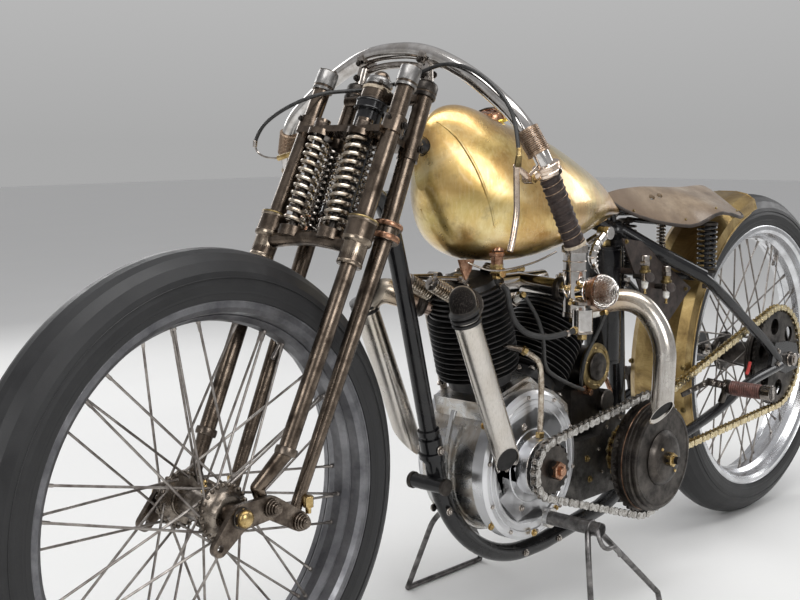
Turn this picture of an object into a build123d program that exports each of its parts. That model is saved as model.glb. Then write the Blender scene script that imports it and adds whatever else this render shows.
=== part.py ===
from build123d import *

import math
import os

# Rigid-framed chopper with a V-twin engine and a springer fork, in millimetres.
# +X forward, +Y to the rider's left, +Z up, origin on the ground midway between the wheels' ends.

# Driving dimensions
FRONT_AXLE = Vector(763, 0, 350)
REAR_AXLE = Vector(-757, 0, 356)
FRONT_TYRE_R = 350
REAR_TYRE_R = 356
RAKE = 26
HEAD_TOP = Vector(406, 0, 920)
CRANK = Vector(133, 0, 293)
FRONT_LEAN = 14
REAR_LEAN = -36
MAINSHAFT = Vector(-155, 0, 262)
PRIMARY_Y = 127
FINAL_Y = 80
STAY_Y = 108
TUBE_R = 14.5
BAR_R = 12.7

RAKE_COS = math.cos(math.radians(RAKE))
RAKE_SIN = math.sin(math.radians(RAKE))
DOWN_HEAD = Vector(RAKE_SIN, 0, -RAKE_COS)
ACROSS_HEAD = Vector(RAKE_COS, 0, RAKE_SIN)
LEFT = Vector(0, 1, 0)


def head_point(down, ahead=0.0, side=0.0):
    """A point given from the top of the steering axis: down it, ahead of it and to the left."""
    return HEAD_TOP + DOWN_HEAD * down + ACROSS_HEAD * ahead + LEFT * side


def rod(start, end, radius):
    start = Vector(*start)
    run = Vector(*end) - start
    return Solid.make_cylinder(radius, run.length, Plane(origin=start, z_dir=run))


def taper(start, end, start_radius, end_radius):
    start = Vector(*start)
    run = Vector(*end) - start
    return Solid.make_cone(start_radius, end_radius, run.length, Plane(origin=start, z_dir=run))


def ring(start, end, outer_radius, inner_radius):
    return rod(start, end, outer_radius) - rod(start, end, inner_radius)


def ball(centre, radius):
    return Solid.make_sphere(radius).moved(Location(Vector(*centre)))


def block(centre, size, tilt=0.0):
    """A box of the given size, turned nose-up about the Y axis by tilt degrees."""
    return Solid.make_box(*size, Plane(origin=(-size[0] / 2, -size[1] / 2, -size[2] / 2))).moved(
        Location(Vector(*centre)) * Rotation(0, -tilt, 0)
    )


def spun(centre, profile):
    """A solid turned about the line along Y through centre, from (radius, y) points."""
    outline = Wire.make_polygon([(radius, y, 0) for radius, y in profile])
    solid = revolve(Face(outline), Axis.Y)
    return solid.moved(Location(Vector(centre.X, 0, centre.Z)))


def bends(points):
    """The largest fillet each corner of a route has room for."""
    radii = []
    for before, corner, after in zip(points, points[1:], points[2:]):
        run_in = Vector(*corner) - Vector(*before)
        run_out = Vector(*after) - Vector(*corner)
        half_turn = math.radians(run_in.get_angle(run_out)) / 2
        radii.append(0.45 * min(run_in.length, run_out.length) / math.tan(half_turn))
    return radii


def tube(points, radius, radii=None):
    path = FilletPolyline(*points, radius=radii or bends(points))
    section = Plane(origin=path @ 0, z_dir=path % 0) * Circle(radius)
    return sweep(section, path=path)


def other_side(point, y=None):
    """The point on the other side of the machine, or at the given y."""
    return Vector(point.X, -point.Y if y is None else y, point.Z)


def mirrored(shape):
    return shape.mirror(Plane.XZ)


def fused(first, *others):
    return first.fuse(*others)


def plate(points, y_low, y_high):
    """A flat plate lying across Y, from (x, z) corner points."""
    outline = Wire.make_polygon([(x, y_low, z) for x, z in points])
    return extrude(Face(outline), amount=y_high - y_low, dir=(0, 1, 0))


def strap(first, second, first_radius, second_radius, y_low, y_high):
    """A flat link with round ends about two (x, z) centres."""
    ends = fused(
        rod((first[0], y_low, first[1]), (first[0], y_high, first[1]), first_radius),
        rod((second[0], y_low, second[1]), (second[0], y_high, second[1]), second_radius),
    )
    run = Vector(second[0] - first[0], 0, second[1] - first[1])
    side = Vector(-run.Z, 0, run.X) / run.length
    corners = []
    for centre, radius, sign in (
        (first, first_radius, 1),
        (second, second_radius, 1),
        (second, second_radius, -1),
        (first, first_radius, -1),
    ):
        corners.append((centre[0] + side.X * radius * sign, centre[1] + side.Z * radius * sign))
    return fused(plate(corners, y_low, y_high), ends)


def section(x, top, bottom, half_width, shape):
    """A smooth closed section across X from shares of its height and half width, up its left side."""
    height = top - bottom
    left = [(x, half_width * wide, bottom + height * up) for up, wide in shape]
    right = [(x, -y, z) for x, y, z in reversed(left) if y > 0]
    return Wire([Spline(*left, *right, periodic=True)])


nodes = {}


# Wheels
TYRE = [
    # half width, radius below the tread
    (38.5, 79.5),
    (38.5, 66.8),
    (45.5, 66.8),
    (48.5, 54.0),
    (48.8, 44.0),
    (45.0, 29.0),
    (36.0, 15.5),
    (24.0, 6.0),
    (12.0, 1.4),
    (0.0, 0.0),
]
RIM = [
    # half width, radius above the deepest line
    (43.2, 32.0),
    (43.2, 22.0),
    (38.5, 15.5),
    (24.0, 11.0),
    (14.0, 3.0),
    (0.0, 0.0),
]
FRONT_WELL_R = 251
REAR_WELL_R = 256
RIM_WALL = 3.6


def both_sides(half):
    """A closed profile from the (y, radius) points of its left half."""
    return [(radius, y) for y, radius in half] + [(radius, -y) for y, radius in reversed(half) if y > 0]


def tyre(centre, tread_radius):
    return spun(centre, both_sides([(y, tread_radius - depth) for y, depth in TYRE]))


def rim(centre, well_radius):
    inner = [(y, well_radius + rise) for y, rise in RIM]
    outer = [
        (0.0, well_radius + RIM_WALL),
        (13.0, well_radius + RIM_WALL),
        (23.0, well_radius + 15.0),
        (38.8, well_radius + 19.3),
        (38.8, well_radius + 32.0),
    ]
    half = [(radius, y) for y, radius in outer + inner]
    other = [(radius, -y) for y, radius in outer + inner]
    return fused(spun(centre, half), spun(centre, other))


def spokes(centre, well_radius, flange_radius, count, flange_y=44.0):
    """Crossed wire spokes; heads lie inside and outside each flange in turn."""
    wires = []
    step = 360 / count
    for side in (1, -1):
        for k in range(count // 2):
            outside = k % 2
            lean = 58 if outside else -58
            head_turn = math.radians(2 * step * k + step * (side > 0))
            rim_turn = head_turn + math.radians(lean - step * 0.5)
            head = Vector(math.cos(head_turn), 0, math.sin(head_turn)) * flange_radius
            nipple = Vector(math.cos(rim_turn), 0, math.sin(rim_turn)) * (well_radius + 1.5)
            head += LEFT * side * (flange_y + (4.0 if outside else -4.0))
            nipple += LEFT * side * (8.0 if outside else 3.0)
            wires.append(rod(centre + head, centre + nipple, 1.8))
    return Compound(children=wires)


def hub(centre, barrel_radius, flange_radius, axle_radius, nose_y):
    profile = [
        # radius, y
        (axle_radius, 0),
        (barrel_radius, 0),
        (barrel_radius, 36),
        (flange_radius, 40.5),
        (flange_radius, 47.5),
        (barrel_radius + 4, 49.5),
        (barrel_radius - 3, nose_y),
        (axle_radius, nose_y),
    ]
    left = spun(centre, profile)
    right = spun(centre, [(radius, -y) for radius, y in profile])
    return fused(left, right)


AXLE_R = 8.0
AXLE_PLAY = 0.05
nodes["front_tyre"] = tyre(FRONT_AXLE, FRONT_TYRE_R)
nodes["front_rim"] = rim(FRONT_AXLE, FRONT_WELL_R)
nodes["front_spokes"] = spokes(FRONT_AXLE, FRONT_WELL_R, 32, 40)
nodes["front_hub"] = hub(FRONT_AXLE, 21, 37, AXLE_R + AXLE_PLAY, 62)
nodes["rear_tyre"] = tyre(REAR_AXLE, REAR_TYRE_R)
nodes["rear_rim"] = rim(REAR_AXLE, REAR_WELL_R)
nodes["rear_spokes"] = spokes(REAR_AXLE, REAR_WELL_R, 38, 40)
DRUM_R = 92
rear_hub = hub(REAR_AXLE, 26, 44, AXLE_R + AXLE_PLAY, 66)
drum = spun(REAR_AXLE, [(24, 49.0), (DRUM_R, 53.0), (DRUM_R, 67.0), (DRUM_R - 8, 70.0), (24, 70.0)])
nodes["rear_hub"] = fused(rear_hub, drum)

SPROCKET_R = 105
SPROCKET_TEETH = 56


def toothed(centre, root_radius, tip_radius, teeth, y_low, y_high):
    corners = []
    for k in range(teeth):
        flank = ((-0.32, root_radius), (-0.12, tip_radius), (0.12, tip_radius), (0.32, root_radius))
        for part, radius in flank:
            turn = 2 * math.pi * (k + part) / teeth
            corners.append((centre.X + radius * math.cos(turn), centre.Z + radius * math.sin(turn)))
    return plate(corners, y_low, y_high)


sprocket = toothed(REAR_AXLE, SPROCKET_R - 5, SPROCKET_R - 1, SPROCKET_TEETH, FINAL_Y - 3, FINAL_Y + 3)
sprocket = sprocket.fuse(rod(REAR_AXLE + LEFT * 70, REAR_AXLE + LEFT * 77, 40))
sprocket -= rod(REAR_AXLE + LEFT * 60, REAR_AXLE + LEFT * 90, 20)
for k in range(6):
    turn = math.radians(60 * k + 20)
    hole = REAR_AXLE + Vector(math.cos(turn), 0, math.sin(turn)) * 70
    sprocket -= rod(hole + LEFT * 60, hole + LEFT * 90, 18)
nodes["rear_sprocket"] = sprocket

# Springer fork. Side positions are the left leg's; the right leg mirrors it.
REAR_LEG_TOP = Vector(379, 72, 917)
REAR_LEG_RINGS = Vector(477, 78, 704)
REAR_PIVOT = Vector(660, 68, 321)
FRONT_LEG_TOP = Vector(429, 86, 939)
FRONT_LEG_COLLAR = Vector(552, 92, 697)
FRONT_LEG_RING = Vector(684, 86, 424)
FRONT_LEG_BEND = Vector(720, 67, 378)
FRONT_PIVOT = Vector(711, 68, 352)
EYE_HALF = 9
UPPER_CROWN_DOWN = 18
LOWER_CROWN_DOWN = 232


def part_way(start, end, share):
    return start + (end - start) * share


def rear_leg():
    ring_dir = (REAR_LEG_TOP - REAR_LEG_RINGS).normalized()
    solids = [
        rod(REAR_LEG_TOP, REAR_LEG_RINGS, 13.5),
        taper(REAR_LEG_RINGS, REAR_PIVOT, 13.5, 8.5),
        rod(REAR_LEG_TOP - ring_dir * 19, REAR_LEG_TOP, 16.5),
        taper(REAR_LEG_TOP, REAR_LEG_TOP + ring_dir * 6, 16.5, 11),
        rod(REAR_LEG_RINGS + ring_dir * 8, REAR_LEG_RINGS + ring_dir * 16, 21),
        rod(REAR_LEG_RINGS - ring_dir * 12, REAR_LEG_RINGS - ring_dir * 2, 21),
        rod(REAR_LEG_RINGS - ring_dir * 2, REAR_LEG_RINGS + ring_dir * 8, 17),
        rod(REAR_PIVOT - LEFT * EYE_HALF, REAR_PIVOT + LEFT * EYE_HALF, 13),
    ]
    return solids


def crown(down, rear_reach):
    """A bar across both rear legs with a boss around the steering stem."""
    leg_y = 75
    return [
        rod(head_point(down - 8), head_point(down + 8), 22),
        rod(head_point(down, rear_reach, -leg_y), head_point(down, rear_reach, leg_y), 9),
        block(head_point(down, rear_reach / 2), (abs(rear_reach) + 20, 46, 15), RAKE),
    ]


STEM_R = 12.95
STEM_STACK = [
    # down the axis from, to, radius
    (4, 246, STEM_R),
    (-10, 6, 14),
    (2, 8, 16.5),
    (8, 14, 22.5),
    (14, 19, 19),
    (19, 30, 21),
]
left_leg = fused(*rear_leg())
bars = fused(*crown(UPPER_CROWN_DOWN, -16), *crown(LOWER_CROWN_DOWN, -23))
stem = ball(head_point(-8), 14)
for low, high, radius in STEM_STACK:
    stem = stem.fuse(rod(head_point(low), head_point(high), radius))
nodes["fork_rear_legs"] = fused(left_leg, mirrored(left_leg), bars, stem)

# Springs: a large pair ahead of the head tube and a smaller pair behind them
SPRING_TOP = Vector(492, 41, 843)
SPRING_BOTTOM = Vector(550, 41, 712)
SPRING_R = 18
REAR_SPRING_TOP = Vector(458, 47, 824)
REAR_SPRING_BOTTOM = REAR_SPRING_TOP + (SPRING_BOTTOM - SPRING_TOP) * 0.93
REAR_SPRING_R = 13.5
spring_dir = (SPRING_BOTTOM - SPRING_TOP).normalized()
PLATE_TILT = math.degrees(math.atan2(spring_dir.X, -spring_dir.Z))


def front_leg():
    leg_dir = (FRONT_LEG_TOP - FRONT_LEG_COLLAR).normalized()
    return [
        rod(FRONT_LEG_TOP, FRONT_LEG_COLLAR, 13),
        rod(FRONT_LEG_TOP - leg_dir * 30, FRONT_LEG_TOP + leg_dir * 2, 15.5),
        rod(FRONT_LEG_COLLAR, FRONT_LEG_COLLAR + leg_dir * 36, 21.5),
        rod(FRONT_LEG_COLLAR - leg_dir * 34, FRONT_LEG_COLLAR, 18),
        rod(FRONT_LEG_COLLAR - leg_dir * 30, FRONT_LEG_RING, 12),
        rod(FRONT_LEG_RING - leg_dir * 5, FRONT_LEG_RING + leg_dir * 5, 15),
        taper(FRONT_LEG_RING, FRONT_LEG_BEND, 12, 9.5),
        ball(FRONT_LEG_BEND, 9.5),
        taper(FRONT_LEG_BEND, FRONT_PIVOT, 9.5, 9),
        rod(FRONT_PIVOT - LEFT * EYE_HALF, FRONT_PIVOT + LEFT * EYE_HALF, 13),
    ]


left_front = fused(*front_leg())
# The lower crossbar arches over the tyre between the front legs' collars
CROSSBAR = [Vector(556, 92, 690), Vector(554, 48, 696), Vector(552, 0, 700)]
crossbar_route = CROSSBAR + [other_side(p) for p in reversed(CROSSBAR[:2])]
crossbar = fused(
    tube(crossbar_route, 11),
    rod(SPRING_BOTTOM, SPRING_BOTTOM + spring_dir * 15, SPRING_R + 1.5),
    rod(REAR_SPRING_BOTTOM, REAR_SPRING_BOTTOM + spring_dir * 13, REAR_SPRING_R + 1.5),
    block(part_way(SPRING_BOTTOM, REAR_SPRING_BOTTOM, 0.5) + spring_dir * 9, (46, 18, 8), PLATE_TILT),
)
right_seats = fused(
    rod(other_side(SPRING_BOTTOM), other_side(SPRING_BOTTOM) + spring_dir * 15, SPRING_R + 1.5),
    rod(
        other_side(REAR_SPRING_BOTTOM),
        other_side(REAR_SPRING_BOTTOM) + spring_dir * 13,
        REAR_SPRING_R + 1.5,
    ),
    block(
        other_side(part_way(SPRING_BOTTOM, REAR_SPRING_BOTTOM, 0.5)) + spring_dir * 9,
        (46, 18, 8),
        PLATE_TILT,
    ),
)
nodes["fork_front_legs"] = fused(left_front, mirrored(left_front), crossbar, right_seats)

# The upper spring plate joins both front legs and reaches back to both rear legs
PLATE_FRONT = Vector(484, 0, 851)
REAR_CLAMP_TOP = Vector(416, 75, 836)
REAR_CLAMP_BOTTOM = Vector(429, 76, 808)
FRONT_CLAMP_TOP = Vector(464, 88, 870)
FRONT_CLAMP_BOTTOM = Vector(475, 88, 848)
half_plate = fused(
    rod(SPRING_TOP - spring_dir * 9, SPRING_TOP, SPRING_R + 1.5),
    rod(REAR_SPRING_TOP - spring_dir * 14, REAR_SPRING_TOP, REAR_SPRING_R + 1.5),
    rod((489, 44, 849), (481, 44, 868), 11.5),
    rod(REAR_CLAMP_TOP, REAR_CLAMP_BOTTOM, 16),
    rod(FRONT_CLAMP_TOP, FRONT_CLAMP_BOTTOM, 17),
    block((452, 60, 838), (78, 36, 9), PLATE_TILT),
)
spring_plate = fused(block(PLATE_FRONT, (26, 172, 10), PLATE_TILT), half_plate, mirrored(half_plate))
for top, bottom, radius in ((FRONT_LEG_TOP, FRONT_LEG_COLLAR, 13), (REAR_LEG_TOP, REAR_LEG_RINGS, 13.5)):
    leg = rod(top, bottom, radius)
    spring_plate = spring_plate - leg - mirrored(leg)
nodes["spring_plate"] = spring_plate


def ringed_spring(start, end, coil_radius, wire_radius, coils):
    """A close-coiled spring drawn as a stack of joined rings."""
    run = end - start
    pitch = run.length / coils
    points = [(coil_radius - 2 * wire_radius, 0)]
    for k in range(coils):
        low = k * pitch
        points += [(coil_radius - wire_radius, low), (coil_radius, low + pitch / 2)]
    points += [(coil_radius - wire_radius, run.length), (coil_radius - 2 * wire_radius, run.length)]
    outline = Wire.make_polygon([(radius, 0, height) for radius, height in points])
    solid = revolve(Face(outline), Axis.Z)
    return Plane(origin=start, z_dir=run).location * solid


springs = []
for top, bottom, radius, wire in (
    (SPRING_TOP, SPRING_BOTTOM, SPRING_R, 3.6),
    (REAR_SPRING_TOP, REAR_SPRING_BOTTOM, REAR_SPRING_R, 2.6),
):
    coil = ringed_spring(top, bottom, radius, wire, 12)
    springs += [coil, mirrored(coil)]
nodes["fork_springs"] = Compound(children=springs)
ROCKER_LOW = 77.5
ROCKER_HIGH = 85.5
LOBE = Vector(799, 0, 317)


def rocker():
    axle = (FRONT_AXLE.X, FRONT_AXLE.Z)
    front = (FRONT_PIVOT.X, FRONT_PIVOT.Z)
    rear = (REAR_PIVOT.X, REAR_PIVOT.Z)
    lobe = (LOBE.X, LOBE.Z)
    body = fused(
        strap(rear, front, 14, 16, ROCKER_LOW, ROCKER_HIGH),
        strap(front, axle, 16, 18, ROCKER_LOW, ROCKER_HIGH),
        strap(axle, lobe, 18, 12, ROCKER_LOW, ROCKER_HIGH),
    )
    body -= rod(FRONT_AXLE, FRONT_AXLE + LEFT * 100, AXLE_R)
    body -= rod(LOBE, LOBE + LEFT * 100, 5)
    for pivot in (front, rear):
        for reach, radius in ((4, 11), (9, 8), (15, 6)):
            body = body.fuse(
                rod((pivot[0], ROCKER_HIGH, pivot[1]), (pivot[0], ROCKER_HIGH + reach, pivot[1]), radius)
            )
    return body


nodes["fork_rockers"] = Compound(children=[rocker(), mirrored(rocker())])
axle_nut = fused(
    rod(FRONT_AXLE + LEFT * ROCKER_HIGH, FRONT_AXLE + LEFT * 93, 13),
    taper(FRONT_AXLE + LEFT * 93, FRONT_AXLE + LEFT * 101, 11, 5),
    ring(FRONT_AXLE + LEFT * 62.5, FRONT_AXLE + LEFT * ROCKER_LOW, 14, AXLE_R - 1),
)
nodes["front_axle"] = fused(
    rod(FRONT_AXLE - LEFT * 95, FRONT_AXLE + LEFT * 95, AXLE_R), axle_nut, mirrored(axle_nut)
)

# Handlebar: one arc over the fork whose ends drop into the grips
GRIP_END = Vector(300, 285, 685)
GRIP_TOP = Vector(350, 268, 800)
BAR_SHOULDER = GRIP_END + (GRIP_TOP - GRIP_END) * 1.452
BAR_HAUNCH = Vector(368, 150, 931)
BAR_CENTRE = Vector(368, 55, 972)


half_bar = [GRIP_END, BAR_SHOULDER, BAR_HAUNCH, BAR_CENTRE]
bar_route = half_bar + [other_side(p) for p in reversed(half_bar)]
bar = tube(bar_route, BAR_R)
BINDING_TOP = Vector(366, 247, 850)
BINDING_BOTTOM = Vector(358, 262, 819)
binding = rod(BINDING_TOP, BINDING_BOTTOM, BAR_R + 3)
BAR_END_BORE_R = 10
BAR_END_DEPTH = 30
bar_end_dir = (GRIP_TOP - GRIP_END).normalized()
bar_end_bore = rod(GRIP_END - bar_end_dir * 2, GRIP_END + bar_end_dir * BAR_END_DEPTH, BAR_END_BORE_R)
joint_down = (BINDING_BOTTOM - BINDING_TOP).normalized()
below_joint = Solid.make_cylinder(90, 260, Plane(origin=BINDING_TOP, z_dir=joint_down))
arc = bar - below_joint - mirrored(below_joint)
drop = fused(bar & below_joint, binding) - bar_end_bore
nodes["handlebar"] = Compound(children=[arc, drop, mirrored(drop)])
GRIP_R = 14.8
grip_low = GRIP_END + bar_end_dir * 0.5
grip_high = part_way(GRIP_END, GRIP_TOP, 0.90)
left_grip = fused(
    rod(grip_low, grip_high, GRIP_R),
    rod(grip_low, part_way(GRIP_END, GRIP_TOP, 0.05), GRIP_R + 1.2),
) - rod(GRIP_END, GRIP_TOP, BAR_R)
nodes["grips"] = Compound(children=[left_grip, mirrored(left_grip)])

RISER_Y = 66
riser_foot = Vector(378, 70, 915)
riser_top = Vector(368, RISER_Y - 3, 960)
riser = fused(
    taper(riser_foot, riser_top, 11, 8.5),
    rod(riser_top + Vector(0, -6, 2), riser_top + Vector(0, 6, -2), BAR_R + 2.5),
)
BRIDGE = [Vector(368, 62, 944), Vector(369, 30, 950), Vector(369, 0, 951.5)]
bridge_route = BRIDGE + [other_side(p) for p in reversed(BRIDGE[:2])]
nodes["bar_risers"] = fused(riser, mirrored(riser), tube(bridge_route, 5.5)) - bar
# Inverted lever on the left grip
clamp_low = part_way(GRIP_END, GRIP_TOP, 0.92)
clamp_high = part_way(GRIP_END, GRIP_TOP, 1.0)
LEVER_PIVOT = Vector(370, 255, 783)
LEVER_NOSE = Vector(396, 252, 800)
lever_blade = [
    LEVER_NOSE,
    Vector(393, 250, 768),
    Vector(392, 250, 735),
    Vector(401, 250, 700),
    Vector(408, 250, 683),
]
lever = fused(
    ring(clamp_low, clamp_high, 19, BAR_R),
    taper(clamp_low + Vector(14, -4, 2), LEVER_PIVOT, 9, 6),
    rod(LEVER_PIVOT - LEFT * 8, LEVER_PIVOT + LEFT * 8, 7),
    taper(LEVER_PIVOT, LEVER_NOSE, 5, 4),
    ball(LEVER_NOSE, 5),
    tube(lever_blade, 4.5),
)
nodes["brake_lever"] = lever

# Control cable from the lever over the bar, behind the stem and round to the right front leg
CABLE = [
    (397, 257, 815),
    (397, 254, 850),
    (394, 239, 884),
    (389, 205, 914),
    (386, 160, 940),
    (386, 112, 949),
    (389, 62, 935),
    (385, 15, 921),
    (392, -32, 915),
    (428, -56, 912),
    (466, -62, 909),
    (490, -92, 896),
    (502, -130, 878),
    (508, -160, 856),
    (508, -170, 836),
]
BARE_WIRE = [
    (508, -170, 836),
    (506, -172, 824),
    (503, -160, 815),
    (500, -143, 812),
    (496, -125, 812),
    (492, -108, 818),
]
nodes["control_cable"] = fused(tube(CABLE, 3.0), tube(BARE_WIRE, 1.8))
# Frame: head tube, backbone, one loop under the engine, seat tube and stays
HEAD_TUBE = (31, 219)
STEM_PLAY = 0.05
SEAT_CLUSTER = Vector(-237, 0, 662)
BACKBONE_FRONT = head_point(62)
LOOP = [
    head_point(165),
    Vector(398, 0, 752),
    Vector(358, 0, 612),
    Vector(296, 0, 353),
]
CRADLE = [
    Vector(297, 0, 357),
    Vector(236, 0, 106),
    Vector(-10, 0, 106),
    Vector(-200, 0, 128),
    Vector(-262, 0, 150),
]
CRADLE_RADII = [250, 200, 120]
CRADLE_R = 16
PEG_TUBE = Vector(299, 0, 281)
PEG_BORE_R = 8
head_tube = fused(
    rod(head_point(HEAD_TUBE[0]), head_point(HEAD_TUBE[1]), 20),
    rod(head_point(HEAD_TUBE[0]), head_point(HEAD_TUBE[0] + 16), 25),
    rod(head_point(HEAD_TUBE[1] - 16), head_point(HEAD_TUBE[1]), 25),
)
head_bore = rod(head_point(HEAD_TUBE[0] - 5), head_point(HEAD_TUBE[1] + 5), STEM_R + STEM_PLAY)
nodes["frame_head"] = fused(head_tube, rod(BACKBONE_FRONT, SEAT_CLUSTER, TUBE_R)) - head_bore
nodes["frame_downtube"] = tube(LOOP, TUBE_R) - head_tube - head_bore
cradle = fused(
    tube(CRADLE, CRADLE_R, CRADLE_RADII),
    rod((288, 0, 320), (297, 0, 357), 19),
    ring(PEG_TUBE - LEFT * 34, PEG_TUBE + LEFT * 34, 12, PEG_BORE_R),
    block(PEG_TUBE - Vector(16, 0, 0), (18, 22, 24)),
)
nodes["frame_cradle"] = cradle - rod(PEG_TUBE - LEFT * 40, PEG_TUBE + LEFT * 40, PEG_BORE_R)
nodes["seat_tube"] = fused(
    rod((-262, 0, 128), SEAT_CLUSTER + Vector(0, 0, 16), CRADLE_R), ball(SEAT_CLUSTER, 22)
)
UPPER_STAY = [
    Vector(-240, 10, 664),
    Vector(-290, 55, 624),
    Vector(-385, 100, 575),
    Vector(-459, STAY_Y, 527),
    Vector(-664, STAY_Y, 398),
    Vector(-712, STAY_Y, 360),
]
LOWER_STAY = [
    Vector(-262, 8, 205),
    Vector(-274, 62, 240),
    Vector(-327, STAY_Y - 3, 266),
    Vector(-463, STAY_Y, 293),
    Vector(-566, STAY_Y, 328),
    Vector(-722, STAY_Y, 346),
]
AXLE_PLATE = [
    # x, z
    (-690, 400),
    (-672, 352),
    (-740, 326),
    (-790, 330),
    (-802, 356),
    (-790, 386),
    (-745, 396),
]
stay_half = fused(
    tube(UPPER_STAY, 10.5),
    tube([UPPER_STAY[0], UPPER_STAY[1], Vector(-394, 101, 569)], 14),
    tube(LOWER_STAY, 10),
    plate(AXLE_PLATE, STAY_Y - 5, STAY_Y + 5),
)
stay_half -= rod(REAR_AXLE + LEFT * 90, REAR_AXLE + LEFT * 130, AXLE_R)
# A bar between the upper stays carries the saddle's middle spring
STAY_BRIDGE = Vector(-404, 101, 564)
nodes["rear_stays"] = fused(stay_half, mirrored(stay_half), rod(STAY_BRIDGE, other_side(STAY_BRIDGE), 7))
rear_nut = fused(
    rod(REAR_AXLE + LEFT * (STAY_Y + 5), REAR_AXLE + LEFT * (STAY_Y + 17), 14),
    ring(REAR_AXLE + LEFT * 84, REAR_AXLE + LEFT * (STAY_Y - 5), 13, AXLE_R - 1),
)
nodes["rear_axle"] = fused(
    rod(REAR_AXLE - LEFT * 128, REAR_AXLE + LEFT * 128, AXLE_R), rear_nut, mirrored(rear_nut)
)

# Fuel tank: rounded sections along X, widest below their middle
TANK = [
    # x, top z, bottom z, half width
    (313, 846, 758, 15),
    (296, 872, 714, 37),
    (266, 889, 669, 66),
    (222, 893, 645, 98),
    (150, 873, 634, 126),
    (60, 850, 640, 126),
    (-20, 821, 655, 106),
    (-100, 788, 671, 74),
    (-170, 750, 685, 43),
    (-222, 714, 692, 19),
]
TANK_SHAPE = [
    # share of height, share of half width
    (0.0, 0.0),
    (0.03, 0.40),
    (0.12, 0.76),
    (0.26, 0.96),
    (0.40, 1.0),
    (0.55, 0.93),
    (0.71, 0.77),
    (0.86, 0.53),
    (0.97, 0.24),
    (1.0, 0.0),
]
tank = Solid.make_loft([section(*row, TANK_SHAPE) for row in TANK])
tunnel_dir = (BACKBONE_FRONT - SEAT_CLUSTER).normalized()
tunnel_tilt = math.degrees(math.atan2(tunnel_dir.Z, tunnel_dir.X))
TUNNEL_LONG = 640
TUNNEL_FRONT = 0.61
tunnel_middle = part_way(SEAT_CLUSTER, BACKBONE_FRONT, TUNNEL_FRONT) - tunnel_dir * (TUNNEL_LONG / 2)
tank -= block(tunnel_middle - Vector(0, 0, 78), (TUNNEL_LONG, 34, 190), tunnel_tilt)
tank -= rod(SEAT_CLUSTER, BACKBONE_FRONT, TUBE_R + 0.8)
nodes["fuel_tank"] = tank
CAP = Vector(140, 0, 868)
cap = fused(rod(CAP, CAP + Vector(4, 0, 16), 26), rod(CAP - Vector(0, 0, 10), CAP, 20))
PETCOCK = Vector(203, 64, 658)
petcock = fused(
    rod(PETCOCK + Vector(-4, -4, 34), PETCOCK, 12),
    rod(PETCOCK, PETCOCK - Vector(0, 0, 22), 10),
    rod(PETCOCK - Vector(0, 0, 20), PETCOCK - Vector(0, 0, 45), 6),
    rod(PETCOCK - Vector(-8, 0, 34), PETCOCK + Vector(-46, 4, -34), 3.5),
)
nodes["tank_fittings"] = Compound(children=[cap, petcock])

HOSE = [
    (203, 64, 612.7),
    (203, 64, 606),
    (205, 87, 599),
    (204, 90, 574),
    (198, 94, 548),
    (186, 100, 532),
    (172, 108, 522),
    (148, 122, 516),
    (116, 131, 518),
    (92, 137, 522),
]
nodes["fuel_hose"] = tube(HOSE, 5.0)

FRONT_LEAD = [
    (160, 85, 585),
    (136, 90, 556),
    (118, 91, 523),
    (108, 89, 493),
    (104, 86, 465),
    (82, 80, 443),
    (38, 79, 422),
    (-14, 68, 402),
    (-55, 56, 390),
]
REAR_LEAD = [
    (-52, 104, 534),
    (-42, 99, 506),
    (-31, 90, 480),
    (-25, 80, 454),
    (-29, 72, 430),
    (-40, 62, 408),
    (-58, 50, 392),
]
nodes["ignition_leads"] = Compound(children=[tube(FRONT_LEAD, 3.5), tube(REAR_LEAD, 3.5)])
# Saddle, its springs and the fender
SADDLE = [
    # x, top z, bottom z, half width
    (-207, 738, 727, 16),
    (-245, 741, 710, 40),
    (-320, 741, 683, 80),
    (-420, 735, 667, 117),
    (-500, 735, 672, 124),
    (-552, 738, 688, 100),
    (-572, 735, 703, 62),
]
SADDLE_SHAPE = [
    # share of height, share of half width
    (0.0, 0.0),
    (0.01, 0.45),
    (0.06, 0.84),
    (0.30, 1.0),
    (0.62, 0.99),
    (0.90, 0.90),
    (1.0, 0.72),
    (0.93, 0.38),
    (0.90, 0.0),
]
nodes["saddle"] = Solid.make_loft([section(*row, SADDLE_SHAPE) for row in SADDLE])
SADDLE_SPRING = Vector(-424, 92, 575)
SADDLE_SPRING_HIGH = 95
SADDLE_SPRING_R = 19.5
spring_top = SADDLE_SPRING + Vector(0, 0, SADDLE_SPRING_HIGH)
saddle_spring = fused(
    ringed_spring(spring_top, SADDLE_SPRING, SADDLE_SPRING_R, 3.0, 9),
    rod(SADDLE_SPRING - Vector(0, 0, 18), SADDLE_SPRING, 13),
    rod(SADDLE_SPRING, spring_top, 5),
    rod(spring_top, spring_top + Vector(0, 0, 4), SADDLE_SPRING_R - 4),
)
NOSE_SPRING = Vector(-404, 0, 571)
nose_spring = fused(
    ringed_spring(NOSE_SPRING + Vector(0, 0, 100), NOSE_SPRING, 9.5, 2.0, 14),
    rod(NOSE_SPRING + Vector(0, 0, 100), NOSE_SPRING + Vector(0, 0, 104), 9),
)
nodes["saddle_springs"] = Compound(children=[saddle_spring, mirrored(saddle_spring), nose_spring])
FENDER_R = 376
FENDER_HALF = 66
FENDER_LIP_R = 338
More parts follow.
